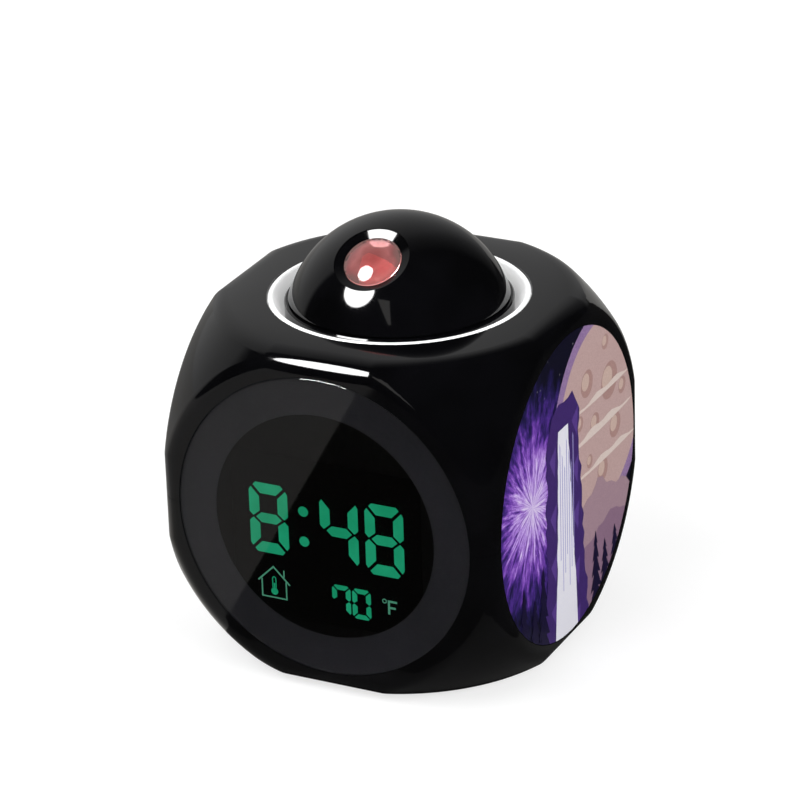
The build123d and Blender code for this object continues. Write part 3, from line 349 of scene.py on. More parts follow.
# %% Finishes of the inner parts
milky_acrylic = plain_finish("acrylic_milky_moulded", "#dfe8de", "#eaf1ea", 2.0, 0.002,
                             Roughness=0.4, IOR=1.49)
circuit_board = plain_finish("glass_fibre_green_solder_mask", "#0c3f22", "#13562f", 1.8, 0.02,
                             Roughness=0.35, IOR=1.5)
black_epoxy = plain_finish("epoxy_black_dispensed", "#0e0e0e", "#181818", 1.0, 0.02,
                           Roughness=0.35, IOR=1.5)
white_nylon = plain_finish("nylon_natural_moulded", "#dcd8cc", "#e8e5da", 0.8, 0.01,
                           Roughness=0.45, IOR=1.53)
tinned_metal = plain_finish("steel_tinned_dipped", "#b4b6b8", "#cfd0d2", 1.2, 0.01,
                            Roughness=0.3, Metallic=1.0)
zinc_steel = plain_finish("steel_zinc_plated", "#8f9196", "#b3b5ba", 0.4, 0.006,
                          Roughness=0.32, Metallic=1.0)
spring_steel = plain_finish("steel_spring_drawn", "#7f8186", "#9c9ea3", 0.3, 0.004,
                            Roughness=0.28, Metallic=1.0)
nickel_plate = plain_finish("nickel_plated_bright", "#b9b5aa", "#d2cec3", 1.0, 0.003,
                            Roughness=0.2, Metallic=1.0)
ferrite = plain_finish("ferrite_pressed", "#2b2b2d", "#38383a", 0.3, 0.02,
                       Roughness=0.6, IOR=1.6)
black_paper = plain_finish("paper_black_pressed", "#1b1b1c", "#292a2b", 0.25, 0.03,
                           Roughness=0.9, IOR=1.5)
foot_rubber = plain_finish("rubber_black_moulded", "#141414", "#1e1e1e", 0.3, 0.03,
                           Roughness=0.75, IOR=1.52)
red_pvc = plain_finish("pvc_red_extruded", "#8c1414", "#a31a1a", 1.0, 0.005,
                       Roughness=0.4, IOR=1.53)
print("finishes of the inner parts end with", red_pvc.name)

# %% [markdown]
# Two inner parts have a pattern that is large enough to see: the striped connector between the
# display's glass and the board, whose carbon layers repeat every 0.18 mm and are drawn here
# every 0.6 mm so that they show, and the printed jacket of the cells, which has a copper band.

# %% Striped connector and printed cells
zebra_rubber, tree, shader, place = start_finish("silicone_zebra_layered", Roughness=0.6, IOR=1.43)
STRIPE_PITCH_MM = 0.6
stripes = add_node(tree, "ShaderNodeTexWave", {"wave_type": "BANDS", "bands_direction": "X"},
                   {"Vector": place, "Scale": math.pi / (10 * STRIPE_PITCH_MM * MM), "Distortion": 0.2})
carbon = add_node(tree, "ShaderNodeValToRGB", None, {"Fac": stripes.outputs["Fac"]})
set_tones(carbon.color_ramp, (0.0, srgb("#2a2426")), (1.0, srgb("#c99aa6")))
tree.links.new(carbon.outputs["Color"], shader.inputs["Base Color"])

cell_jacket, tree, shader, place = start_finish("steel_can_printed_film", Roughness=0.3, IOR=1.5)
along = add_node(tree, "ShaderNodeSeparateXYZ", None, {"Vector": place})
past_band = add_node(tree, "ShaderNodeMapRange", None,
                     {"Value": along.outputs["X"], "From Min": 8.0 * MM, "From Max": 8.4 * MM})
green, _ = mottle(tree, place, 3.0, srgb("#1c3a2a"), srgb("#234633"))
jacket = add_node(tree, "ShaderNodeMix", {"data_type": "RGBA"}, {
    "Factor": past_band.outputs["Result"], 6: green, 7: srgb("#b0703c")})
tree.links.new(jacket.outputs[2], shader.inputs["Base Color"])
print("materials so far:", len(bpy.data.materials))

# %% [markdown]
# ## Dress the CAD pieces
#
# The table below says which finish each CAD piece wears. The CAD model brings the direction of
# its curved faces along, so domes and rings look round without any more faces. The two printed
# discs aren't in the table, because a later step builds their print.

# %% Dress every piece
dress = {
    "upper_shell": bowed_abs, "lower_shell": bowed_abs, "battery_door": gloss_abs,
    "dome": gloss_abs, "press_collar": gloss_abs, "lens_bezel": gloss_abs,
    "button_down": gloss_abs, "button_up": gloss_abs, "button_set": gloss_abs,
    "button_mode": gloss_abs,
    "back_panel": matt_abs, "display_frame": matt_abs, "deck": matt_abs,
    "dome_base": matt_abs, "projector_barrel": matt_abs, "speaker_basket": matt_abs,
    "button_switches": matt_abs, "press_switch": matt_abs,
    "front_lens": smoked_acrylic, "display_mask": ink_with_painted_glow, "display_glass": display_black,
    "light_guide": milky_acrylic, "zebra_strip": zebra_rubber,
    "main_board": circuit_board, "button_board": circuit_board, "led_board": circuit_board,
    "processor": black_epoxy, "capacitors": black_epoxy, "thermistor": black_epoxy,
    "crystal": tinned_metal, "lead_sockets": white_nylon,
    "light_ring": white_abs_painted_glow, "projection_lens": clear_acrylic, "condenser": clear_acrylic,
    "image_slide": slide_glass, "projector_led": red_epoxy,
    "speaker_magnet": ferrite, "speaker_cone": black_paper,
    "cells": cell_jacket, "cell_contacts": nickel_plate, "cell_springs": nickel_plate,
    "return_spring": spring_steel, "axle_clip": spring_steel,
    "case_screws": zinc_steel, "pillar_screws": zinc_steel, "dome_screws": zinc_steel,
    "frame_screws": zinc_steel, "board_screws": zinc_steel, "button_board_screws": zinc_steel,
    "feet": foot_rubber,
    "cell_leads": red_pvc, "speaker_leads": red_pvc, "projector_lead": red_pvc,
}
for name, finish in dress.items():
    piece = nodes[name]
    piece.data.materials.clear()
    piece.data.materials.append(finish)
print("not dressed:", sorted(set(nodes) - set(dress)))

# %% [markdown]
# The ink and the lens share one face in the CAD model. Two faces in exactly the same place
# can't both be seen, and the picture would flicker between them, so the ink shrinks by a
# fiftieth of a millimetre, which leaves it just behind the lens.

# %% Set the ink just behind the lens
INK_GAP_MM = 0.02
shrink = nodes["display_mask"].modifiers.new("ink_gap", "DISPLACE")
shrink.mid_level = 0.0
shrink.strength = -INK_GAP_MM * MM
print("ink set back by", -shrink.strength / MM, "mm")

# %% [markdown]
# ## The lit segments of the display
#
# A liquid-crystal display shows each numeral with seven segments. On this kind of display the
# light comes from behind, so the segments glow green on black. Each segment is a flat shape
# with mitred ends. A font would be quicker to type, but it would bring its own gaps and mitres,
# so one numeral is drawn once, in millimetres about its own middle, and scaled to the two sizes
# that the display needs.

# %% Shapes of one numeral
SEGMENT_SHAPES = {
    "top": [(-3.65, 7.85), (-3.0, 8.6), (3.0, 8.6), (3.65, 7.85), (1.9, 5.95), (-1.9, 5.95)],
    "high_left": [(-4.65, 6.5), (-4.15, 7.3), (-2.2, 5.15), (-2.2, 1.55), (-3.75, 0.2), (-4.65, 1.1)],
    "middle": [(-3.1, 0.0), (-1.8, 1.2), (1.8, 1.2), (3.1, 0.0), (1.8, -1.2), (-1.8, -1.2)],
}


def mirrored(points, across=1, up=1):
    """The same outline turned over from left to right, from top to bottom, or both."""
    return [(x * across, z * up) for x, z in points]


SEGMENT_SHAPES["high_right"] = mirrored(SEGMENT_SHAPES["high_left"], across=-1)
SEGMENT_SHAPES["low_left"] = mirrored(SEGMENT_SHAPES["high_left"], up=-1)
SEGMENT_SHAPES["low_right"] = mirrored(SEGMENT_SHAPES["high_left"], across=-1, up=-1)
SEGMENT_SHAPES["bottom"] = mirrored(SEGMENT_SHAPES["top"], up=-1)
LIT = {
    "0": ["top", "high_left", "high_right", "low_left", "low_right", "bottom"],
    "4": ["high_left", "high_right", "middle", "low_right"],
    "7": ["high_left", "top", "high_right", "low_right"],
    "8": list(SEGMENT_SHAPES),
}


def numeral(figure, middle, wide=1.0, tall=1.0):
    """Outlines of the segments that one figure lights, round its middle."""
    return [[(middle[0] + x * wide, middle[1] + z * tall) for x, z in SEGMENT_SHAPES[name]]
            for name in LIT[figure]]


print("segments of an eight:", len(numeral("8", (0, 0))))

# %% [markdown]
# The signs beside the numerals are drawn with a pen of even width. A curve with a bevel would
# give round tubes, so each run of a stroke is an outline of its own with mitred corners instead.
# Rings and discs start from points round a circle.

# %% Strokes, rings and discs for the small signs
SHARPEST_MITRE = 0.4


def stroke(points, width, closed=False):
    """Outlines of a line of even width with mitred corners, one four-sided piece per run."""
    count = len(points)
    runs = count if closed else count - 1
    sides = []
    for i in range(count):
        before = points[i - 1] if closed or i else points[i]
        after = points[(i + 1) % count] if closed or i < count - 1 else points[i]
        here = Vector(points[i])
        arms = [(here - Vector(before)), (Vector(after) - here)]
        arms = [arm.normalized() for arm in arms if arm.length > 1e-9]
        along = sum(arms, Vector((0, 0))).normalized()
        lean = max(SHARPEST_MITRE, along.dot(arms[0]))
        across = Vector((-along.y, along.x)) * width / 2 / lean
        sides.append((here + across, here - across))
    return [[tuple(sides[i][0]), tuple(sides[(i + 1) % count][0]),
             tuple(sides[(i + 1) % count][1]), tuple(sides[i][1])] for i in range(runs)]


def circle_points(middle, radius, count):
    """Points round a circle, as (across, up)."""
    turns = [2 * math.pi * i / count for i in range(count)]
    return [(middle[0] + radius * math.cos(t), middle[1] + radius * math.sin(t)) for t in turns]


print("runs in a closed stroke of 24 points:", len(stroke(circle_points((0, 0), 1, 24), 0.2, True)))

# %% [markdown]
# Everything that this lesson adds to the clock is a set of flat shapes: segments, signs, layers of
# ink and marks. One function fills the outlines, rounds their corners where that is asked for,
# gives them a lid and walls, and puts them in their place on the clock. Blender's own extrusion
# would do this too, but it can leave the faces in another order on each run, and recalculating
# the normals of a layer as thin as ink can turn it inside out. Here each outline is first turned
# to run anticlockwise, so that the lid and the walls built on it face outwards, and the foot is
# turned over last. Rounding the corners can change the order too, so the rounded outlines are
# sorted and filled again. Across, up and out keep the same sense in every place on the clock.

# %% Flat shapes with a thickness
def raised_shapes(name, outlines, to_place, thickness_mm, finish, body, corner_mm=0.0):
    """Flat shapes of a given thickness. to_place turns (across, up, out) into a place on the clock."""
    mesh = bmesh.new()
    for outline in outlines:
        corners = [mesh.verts.new((a, b, 0.0)) for a, b in outline]
        mesh.faces.new(corners)
    if corner_mm:
        bmesh.ops.bevel(mesh, geom=mesh.verts[:], offset=corner_mm, segments=3, affect="VERTICES",
                        profile=0.5)
        rounded = []
        for face in mesh.faces:
            corners = [corner.co[:] for corner in face.verts]
            first = corners.index(min(corners))
            rounded.append(corners[first:] + corners[:first])
        mesh.clear()
        for corners in sorted(rounded):
            mesh.faces.new([mesh.verts.new(corner) for corner in corners])
    for face in mesh.faces[:]:
        face.normal_update()
        if face.normal.z < 0:
            face.normal_flip()
        foot = face.verts[:]
        lid = [mesh.verts.new((*corner.co.xy, thickness_mm)) for corner in foot]
        mesh.faces.new(lid)
        for i in range(len(foot)):
            mesh.faces.new((foot[i - 1], foot[i], lid[i], lid[i - 1]))
        face.normal_flip()
    for vertex in mesh.verts:
        vertex.co = Vector(to_place(*vertex.co)) * MM
    data = bpy.data.meshes.new(name)
    mesh.to_mesh(data)
    mesh.free()
    data.materials.append(finish)
    made = bpy.data.objects.new(name, data)
    bpy.context.scene.collection.objects.link(made)
    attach(made, body)
    return made


# %% [markdown]
# The light that passes the lit segments is a bluish green. The shapes lie on the front of the
# display's glass, behind the smoked lens, so the shader gives out more light than the eye sees
# in the end.

# %% The finish of the lit segments
def lit_green(name, low_code, high_code, strength):
    """Green light through liquid crystal, a little uneven as the light guide is."""
    made, tree, shader, place = start_finish(name, Roughness=0.4, IOR=1.5,
                                             Base_Color=srgb("#06281c"))
    colour, _ = mottle(tree, place, 5.0, srgb(low_code), srgb(high_code), low=0.3, high=1.2)
    tree.links.new(colour, shader.inputs["Emission Color"])
    shader.inputs["Emission Strength"].default_value = strength
    return made


segment_green = lit_green("light_green_segments", "#179a6e", "#26b285", 2.8)
sign_green = lit_green("light_pale_green_signs", "#4f9c80", "#5fae90", 2.4)
print("made", segment_green.name, sign_green.name)

# %% [markdown]
# The time stands in large figures across the lens, with two round dots between hours and
# minutes. Below it are a house with a thermometer, which says that the temperature is the one
# indoors, and the temperature itself in small figures. All places are in millimetres from the
# middle of the lens, across and up.

# %% Light the time, the sign and the temperature
GLASS_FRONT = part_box("display_glass")[0].y / MM
GLASS_GAP = 0.01
MIDDLE_UP = 40.1
SEGMENT_THICKNESS = 0.03
TIME_FIGURES = (("8", (-13.8, -0.9), 1.0, 0.965), ("4", (3.15, -1.1), 0.98, 0.98),
                ("8", (13.95, -1.1), 0.985, 0.975))
DOT_RADIUS, DOTS_ACROSS, DOTS_UP = 1.2, -5.4, (2.3, -4.85)
SMALL_WIDE, SMALL_TALL = 0.48, 0.42


def on_display(across, up, out):
    """A place on the display's glass, from millimetres about the middle of the lens."""
    return across, GLASS_FRONT - GLASS_GAP - out, up + MIDDLE_UP


def lit_sign(name, outlines, finish, corner_mm=0.0):
    """One lit sign of the display."""
    raised_shapes(name, outlines, on_display, SEGMENT_THICKNESS, finish, "case", corner_mm)


time_outlines = []
for figure, middle, wide, tall in TIME_FIGURES:
    time_outlines += numeral(figure, middle, wide, tall)
for dot_up in DOTS_UP:
    time_outlines.append(circle_points((DOTS_ACROSS, dot_up), DOT_RADIUS, 24))
lit_sign("lit_time", time_outlines, segment_green, corner_mm=0.12)

degrees = numeral("7", (3.1, -17.35), SMALL_WIDE, SMALL_TALL)
degrees += numeral("0", (7.95, -17.4), SMALL_WIDE, SMALL_TALL)
lit_sign("lit_temperature", degrees, segment_green)
unit = stroke([(14.5, -18.45), (14.5, -15.35), (16.45, -15.35)], 0.5)
unit += stroke([(14.75, -16.85), (16.1, -16.85)], 0.5)
unit += stroke(circle_points((13.45, -15.45), 0.45, 20), 0.2, closed=True)
lit_sign("lit_unit", unit, sign_green)

house = stroke([(-16.2, -15.6), (-16.2, -19.8), (-10.3, -19.8), (-10.3, -15.6)], 0.32)
house += stroke([(-17.1, -16.15), (-13.3, -12.4), (-9.4, -16.25)], 0.36)
house += stroke([(-10.75, -12.9), (-10.75, -14.6)], 0.3)
lit_sign("lit_house", house, sign_green)
thermometer = stroke([(-13.6, -17.5), (-13.6, -15.2), (-13.45, -14.9), (-13.2, -14.8),
                      (-12.95, -14.9), (-12.8, -15.2), (-12.8, -17.5)], 0.22)
thermometer.append(circle_points((-13.2, -18.3), 0.85, 24))
thermometer.append([(-13.4, -17.6), (-13.0, -17.6), (-13.0, -16.3), (-13.4, -16.3)])
lit_sign("lit_thermometer", thermometer, segment_green)
print("glass front at y =", round(GLASS_FRONT, 2), "mm")

# %% [markdown]
# ## The printed sides
#
# Each side wears a disc of printed film under a clear gloss. A printer lays flat inks, so the
# art is built the same way, as thin flat shapes one above the other: a violet night sky with a
# burst of light, a tan moon behind bands of cloud, a pale waterfall between plum cliffs, and
# dark pines in front. Each layer is a little less than a hundredth of a millimetre thick. A
# picture file would be the other way to do this, but flat shapes keep sharp edges at any size
# and leave the script with no file beside it. Every shape is cut to the round of the disc.

# %% Keep a shape inside the disc
DISC_RADIUS = 35.25
DISC_SIDES = 96


def inside_disc(points):
    """Cut a polygon to the disc, one straight side of the disc after another."""
    kept = list(points)
    reach = DISC_RADIUS * math.cos(math.pi / DISC_SIDES)
    for i in range(DISC_SIDES):
        turn = 2 * math.pi * (i + 0.5) / DISC_SIDES
        out = Vector((math.cos(turn), math.sin(turn)))
        previous, kept_now = kept, []
        for k, point in enumerate(previous):
            last = Vector(previous[k - 1])
            here = Vector(point)
            was, now = last.dot(out) - reach, here.dot(out) - reach
            if (was < 0) != (now < 0):
                share = was / (was - now)
                kept_now.append(tuple(last.lerp(here, share)))
            if now < 0:
                kept_now.append(tuple(here))
        kept = kept_now
        if not kept:
            break
    return kept


def rough_line(start, end, count, wander, chance):
    """Points from start to end that wander from side to side, as a torn or rocky edge does."""
    start, end = Vector(start), Vector(end)
    across = (end - start).normalized().orthogonal()
    return [tuple(start.lerp(end, i / count) + across * chance.uniform(-wander, wander))
            for i in range(count + 1)]


print("a square cut to the disc:", len(inside_disc([(-40, -40), (40, -40), (40, 40), (-40, 40)])))

# %% [markdown]
# The art is a landscape from back to front. The disc's middle is the origin, and the layers may
# run past its edge, because the film is cut afterwards. The moon comes first: a halo, the disc
# itself, craters as two rings of ink each, and three bands of cloud that swell like a sine wave.

# %% The moon and the clouds
MOON = (17.0, 10.0)
MOON_RADIUS, HALO_RADIUS = 22.5, 25.5
CRATERS = [(10, 20, 3.2), (22, 16, 4.4), (14, 9, 2.4), (25, 4, 3.0), (6, 12, 1.8), (18, -4, 2.8),
           (29, 12, 2.0), (11, 1, 1.6), (20, 26, 1.8)]
CLOUDS = ((14.5, 1.1, 2), (6.8, 1.5, -1), (-1.5, 1.2, 4))
CLOUD_STEPS, CLOUD_PITCH = 16, 2.2


def moon_layers():
    """The moon with its halo and its craters, and the clouds in front of it."""
    rims = [circle_points((x, z), r, 28) for x, z, r in CRATERS]
    floors = [circle_points((x - 0.25 * r, z + 0.2 * r), 0.62 * r, 24) for x, z, r in CRATERS]
    bands = []
    for low, thick, left in CLOUDS:
        swell = [thick * math.sin(math.pi * i / CLOUD_STEPS) for i in range(CLOUD_STEPS + 1)]
        top = [(left + CLOUD_PITCH * i, low + high + 0.35 * math.sin(i * 1.3))
               for i, high in enumerate(swell)]
        bottom = [(left + CLOUD_PITCH * i, low - 0.35 * high) for i, high in enumerate(swell)]
        bands.append(top + bottom[::-1][1:-1])
    return [("moon_halo", "halo", [circle_points(MOON, HALO_RADIUS, 72)]),
            ("moon", "tan", [circle_points(MOON, MOON_RADIUS, 72)]),
            ("craters", "rose", rims), ("crater_floors", "sand", floors),
            ("cloud_bands", "cream", bands)]


print("craters:", len(CRATERS))

# %% [markdown]
# Rocks and ridges wander by chance, from a seed that is always the same, so that every run
# prints the same picture. Their outlines run down past the foot of the disc. The cliff gets a
# few lighter facets, as a rock that is lit from above has.

# %% The ridges and the cliff
CHANCE_SEED = 11
FACETS = 9


def rock_layers(chance):
    """Two ridges, and the cliff with its facets."""
    ridge_far = rough_line((-2, -12), (14, -6), 7, 0.9, chance) \
        + rough_line((15, -5), (36, -14), 8, 1.0, chance) + [(36, -36), (-2, -36)]
    ridge_near = rough_line((4, -20), (22, -15), 8, 0.8, chance) \
        + rough_line((23, -15), (36, -22), 6, 0.8, chance) + [(36, -36), (4, -36)]
    cliff = rough_line((-13, -36), (-11.5, 14), 22, 0.7, chance) \
        + rough_line((-9, 20), (2, 22), 5, 0.8, chance) \
        + rough_line((5, 16), (9, -36), 22, 0.8, chance)
    facets = []
    for k in range(FACETS):
        high = 15 - 6 * k + chance.uniform(-1, 1)
        side = -8.3 if k % 2 else 3.6
        facets.append([(side - 2.0, high), (side + 1.4, high + 2.4), (side + 0.6, high - 4.5)])
    return [("far_ridge", "mauve", [ridge_far]), ("near_ridge", "dusk", [ridge_near]),
            ("cliff", "plum", [cliff]), ("cliff_facets", "violet", facets)]


print("rock layers:", [name for name, _, _ in rock_layers(random.Random(CHANCE_SEED))])

# %% [markdown]
# The waterfall widens towards its foot, and thin streaks run down in it. The pines stand in
# front of all else. A pine is a tip and five steps of branches, mirrored about its trunk.

# %% The waterfall and the pines
PINES = ((-29, -33, 15), (-24.5, -36, 22), (-19, -36, 17), (-14.5, -37, 24),
         (13.5, -37, 20), (18.5, -36, 15), (24, -33, 13))


def water_layers(chance):
    """The waterfall and the streaks in it."""
    fall = rough_line((-5.5, 15), (-7.2, -22), 16, 0.25, chance) + [(-8.5, -36), (3.5, -36)] \
        + rough_line((2.6, -22), (-0.5, 15), 16, 0.25, chance)
    streaks = []
    for k in range(7):
        x = -5.0 + 1.15 * k
        high, low = 12 - 3.0 * (k % 3), -16 - 4.0 * ((k * 2) % 3)
        streaks.append([(x, high), (x + 0.35, high - 1), (x + 0.15, low), (x - 0.15, low)])
    return [("waterfall", "foam", [fall]), ("water_streaks", "lavender", streaks)]


def pine(across, foot, tall):
    """The outline of one pine: its tip, its right side down and its left side up."""
    right = []
    for k in range(1, 6):
        half, drop = 0.62 * k + 0.5, tall * k / 5.5
        right += [(across + half, foot + tall - drop),
                  (across + half * 0.45, foot + tall - drop + 0.4)]
    left = [(2 * across - x, z) for x, z in right]
    return [(across, foot + tall)] + right + left[::-1]


print("points of a pine:", len(pine(*PINES[0])))

# %% [markdown]
# All layers together, from the sky forward, with the chance handed from one motif to the next.
# Each layer has one flat ink. Inks printed on film look satin, with the soft glint of a thin
# clear coat over them.

# %% The layers of the print and their inks
def print_layers():
    """Name, ink and outlines of each layer, from the sky forward, in millimetres."""
    chance = random.Random(CHANCE_SEED)
    layers = moon_layers() + rock_layers(chance) + water_layers(chance)
    return layers + [("pines", "night", [pine(*sizes) for sizes in PINES])]


INKS = {
    "halo": ("#8a6aa0", "#a98bb4"), "tan": ("#c4a3a0", "#d0b2ae"), "rose": ("#b18a86", "#bd9890"),
    "sand": ("#cfb2a6", "#dabfb3"), "cream": ("#e2cfc6", "#eadad2"), "mauve": ("#a58795", "#b4959f"),
    "dusk": ("#8c6c86", "#9a7a90"), "plum": ("#3c2568", "#4a2f7c"), "violet": ("#57398c", "#64459a"),
    "foam": ("#f1f0fe", "#faf9ff"), "lavender": ("#a6a0dc", "#b8b2e6"), "night": ("#130d2c", "#1d1440"),
}
inks = {name: plain_finish("ink_" + name + "_printed", dark, light, 0.25, 0.001, Roughness=0.35,
                           IOR=1.5, Coat_Weight=0.3, Coat_Roughness=0.1)
        for name, (dark, light) in INKS.items()}
print("layers on a side:", len(print_layers()), "in", len(inks), "inks")

# %% [markdown]
# The sky is the one layer that isn't flat ink. Its burst of light comes from the angle round a
# point, broken up by noise. Cells of random size, each with a small bright core, make the
# stars. The rays fade from near white to navy with the distance from the burst.

# %% The printed sky
BURST_ACROSS, BURST_UP = -19.0, 3.0
BURST_STRENGTH, FADING_PER_MM = 1.9, 0.045
RAY_NARROWNESS, RAY_CHANGE_PER_MM = 3.2, 0.05
STAR_SPACING_MM = 1.7
STAR_RIM, STAR_CORE = 0.16, 0.05
STARLESS_SHARE = 0.55


def printed_sky(name, across):
    """Violet night sky. across is 1 or -1, the way that the disc's width runs along Y."""
    made, tree, shader, place = start_finish(name, Roughness=0.35, IOR=1.5, Coat_Weight=0.3,
                                             Coat_Roughness=0.1)
    split = add_node(tree, "ShaderNodeSeparateXYZ", None, {"Vector": place})
    values = work_out(tree, "ShaderNodeMath", {"y": split.outputs["Y"], "z": split.outputs["Z"]}, (
        ("wide", "MULTIPLY_ADD", "y", across / MM, -BURST_ACROSS),
        ("high", "MULTIPLY_ADD", "z", 1 / MM, -MIDDLE_UP - BURST_UP),
        ("turn", "ARCTAN2", "high", "wide"),
        ("wide_2", "MULTIPLY", "wide", "wide"),
        ("high_2", "MULTIPLY", "high", "high"),
        ("away_2", "ADD", "wide_2", "high_2"),
        ("away", "SQRT", "away_2"),
        ("round", "MULTIPLY", "turn", RAY_NARROWNESS),
        ("outward", "MULTIPLY", "away", RAY_CHANGE_PER_MM),
        ("fading", "MULTIPLY", "away", FADING_PER_MM),
        ("strength", "SUBTRACT", BURST_STRENGTH, "fading"),
    ))
    polar = add_node(tree, "ShaderNodeCombineXYZ", None,
                     {"X": values["round"], "Y": values["outward"]})
    rays = add_node(tree, "ShaderNodeTexNoise", None,
                    {"Vector": polar.outputs[0], "Scale": 3.0, "Detail": 5.0, "Roughness": 0.7})
    glow = add_node(tree, "ShaderNodeMath", {"operation": "MULTIPLY"},
                    {0: rays.outputs["Fac"], 1: values["strength"]})
    tones = add_node(tree, "ShaderNodeValToRGB", None, {"Fac": glow.outputs[0]})
    set_tones(tones.color_ramp, (0.30, srgb("#0d0b24")), (1.0, srgb("#efe2ff")), (
        (0.42, srgb("#231a55")), (0.55, srgb("#4c2a8e")), (0.68, srgb("#8a50c8")),
        (0.82, srgb("#c39af0"))))
    cells = add_node(tree, "ShaderNodeTexVoronoi", None,
                     {"Vector": place, "Scale": 1 / (STAR_SPACING_MM * MM)})
    core = add_node(tree, "ShaderNodeMapRange", None,
                    {"Value": cells.outputs["Distance"], "From Min": STAR_RIM, "From Max": STAR_CORE})
    chosen = add_node(tree, "ShaderNodeSeparateColor", None, {"Color": cells.outputs["Color"]})
    rare = add_node(tree, "ShaderNodeMath", {"operation": "GREATER_THAN"},
                    {0: chosen.outputs[0], 1: STARLESS_SHARE})
    star = add_node(tree, "ShaderNodeMath", {"operation": "MULTIPLY"},
                    {0: core.outputs["Result"], 1: rare.outputs[0]})
    sky = add_node(tree, "ShaderNodeMix", {"data_type": "RGBA"}, {
        "Factor": star.outputs[0], 6: tones.outputs["Color"], 7: srgb("#f3ecff")})
    tree.links.new(sky.outputs[2], shader.inputs["Base Color"])
    return made


print("the burst is", -BURST_ACROSS, "mm left of the disc's middle and", BURST_UP, "mm above it")

# %% [markdown]
# The base of the print is a disc of its own, a millimetre thick, that takes the place of the
# plain disc from the CAD model. It lies a little below the case's face, and each layer of ink
# lies on the one before, so that no two share a face. Both sides carry the same picture, each
# the right way round.

# %% Print both sides
LAYER_STEP = 0.008
BASE_DEPTH = 0.12
BASE_THICKNESS = 1.0


def print_side(side, node):
    """Cover one side's disc with the print. side is 1 on the right and -1 on the left."""
    low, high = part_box(node)
    face = (high.x if side > 0 else -low.x) / MM

    def on_side(across, up, out):
        return side * (face - BASE_DEPTH + out), side * across, up + MIDDLE_UP

    base = raised_shapes(f"sky_{node}", [circle_points((0, 0), DISC_RADIUS, 160)],
                         lambda a, b, out: on_side(a, b, out - BASE_THICKNESS), BASE_THICKNESS,
                         printed_sky(f"film_printed_sky_{node}", side), "case")
    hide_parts(node)
    for level, (name, ink, outlines) in enumerate(print_layers(), start=1):
        cut = [kept for kept in map(inside_disc, outlines) if len(kept) > 2]
        lift = (level - 1) * LAYER_STEP
        raised_shapes(f"{name}_{node}", cut,
                      lambda a, b, out, lift=lift: on_side(a, b, out + lift),
                      LAYER_STEP, inks[ink], "case")


for side, node in ((1, "right_disc"), (-1, "left_disc")):
    print_side(side, node)

# %% [markdown]
# ## Marks over the buttons
#
# Each button needs a sign that anyone can read. Pad printing puts thin white ink on the panel:
# an arrow down, an arrow up, a ring for setting and bars for the mode. The ink is matt and so
# thin that the black below greys it a little. The marks stand above their buttons.

# %% Print the marks
mark_white = plain_finish("ink_white_pad_printed", "#c9cacb", "#d8d9da", 0.4, 0.002,
                          Roughness=0.5, IOR=1.5)
PANEL_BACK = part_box("back_panel")[1].y / MM
MARK_RISE = 18.3
ARROW_HALF, ARROW_FOOT, ARROW_TIP = 1.4, 0.8, 1.0
SET_RING_RADIUS = 0.95
MARK_LINE = 0.4
MARK_THICKNESS = 0.01
BAR_HALF, BAR_PITCH = 1.3, 0.9


def on_panel(across, up, out):
    """A place on the back panel, as someone behind the clock sees it."""
    return -across, PANEL_BACK + out, up + MIDDLE_UP


def arrow(middle, way):
    """A triangle over a button: way is 1 for an arrow up and -1 for an arrow down."""
    return [(middle - ARROW_HALF, MARK_RISE - way * ARROW_FOOT),
            (middle + ARROW_HALF, MARK_RISE - way * ARROW_FOOT), (middle, MARK_RISE + way * ARROW_TIP)]


button_boxes = [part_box(name) for name in ("button_down", "button_up", "button_set", "button_mode")]
button_middles = [-(low.x + high.x) / 2 / MM for low, high in button_boxes]
down_at, up_at, set_at, mode_at = button_middles
marks = [arrow(down_at, -1), arrow(up_at, 1)]
marks += stroke(circle_points((set_at, MARK_RISE), SET_RING_RADIUS, 24), MARK_LINE, closed=True)
for bar in (-BAR_PITCH, 0.0, BAR_PITCH):
    marks += stroke([(mode_at - BAR_HALF, MARK_RISE + bar), (mode_at + BAR_HALF, MARK_RISE + bar)],
                    MARK_LINE)
raised_shapes("button_marks", marks, on_panel, MARK_THICKNESS, mark_white, "case")
print("buttons at", [round(x, 1) for x in button_middles])

# %% [markdown]
# ## The studio
#
# Black gloss plastic shows its surroundings more than itself, so the studio is most of the
# picture. Two helpers come first. One makes a flat piece that belongs to the studio and not to
# the clock. The other tells kinds of rays apart, so that the camera, the reflections and the
# matt surfaces can each meet a room of their own.

# %% Flat pieces and kinds of rays
def studio_piece(name, corners, finish):
    """A flat piece of the studio, from its corners in metres."""
    mesh = bpy.data.meshes.new(name)
    mesh.from_pydata(corners, [], [tuple(range(len(corners)))])
    mesh.materials.append(finish)
    made = bpy.data.objects.new(name, mesh)
    bpy.context.scene.collection.objects.link(made)
    return made


def any_of(tree, *kinds):
    """1 for a ray of one of the kinds that a Light Path node tells apart, otherwise 0."""
    sight = add_node(tree, "ShaderNodeLightPath")
    total = sight.outputs[kinds[0]]
    for kind in kinds[1:]:
        total = add_node(tree, "ShaderNodeMath", {"operation": "ADD", "use_clamp": True},
                         {0: total, 1: sight.outputs[kind]}).outputs[0]
    return total


# %% [markdown]
# The floor is a sheet of pale paper. What the eye sees of it is lifted to white, while the paper
# itself stays darker, so that the clock keeps a soft shadow. From below the sheet is clear, as a
# glass table would be, so that the battery door and the feet can be looked at.

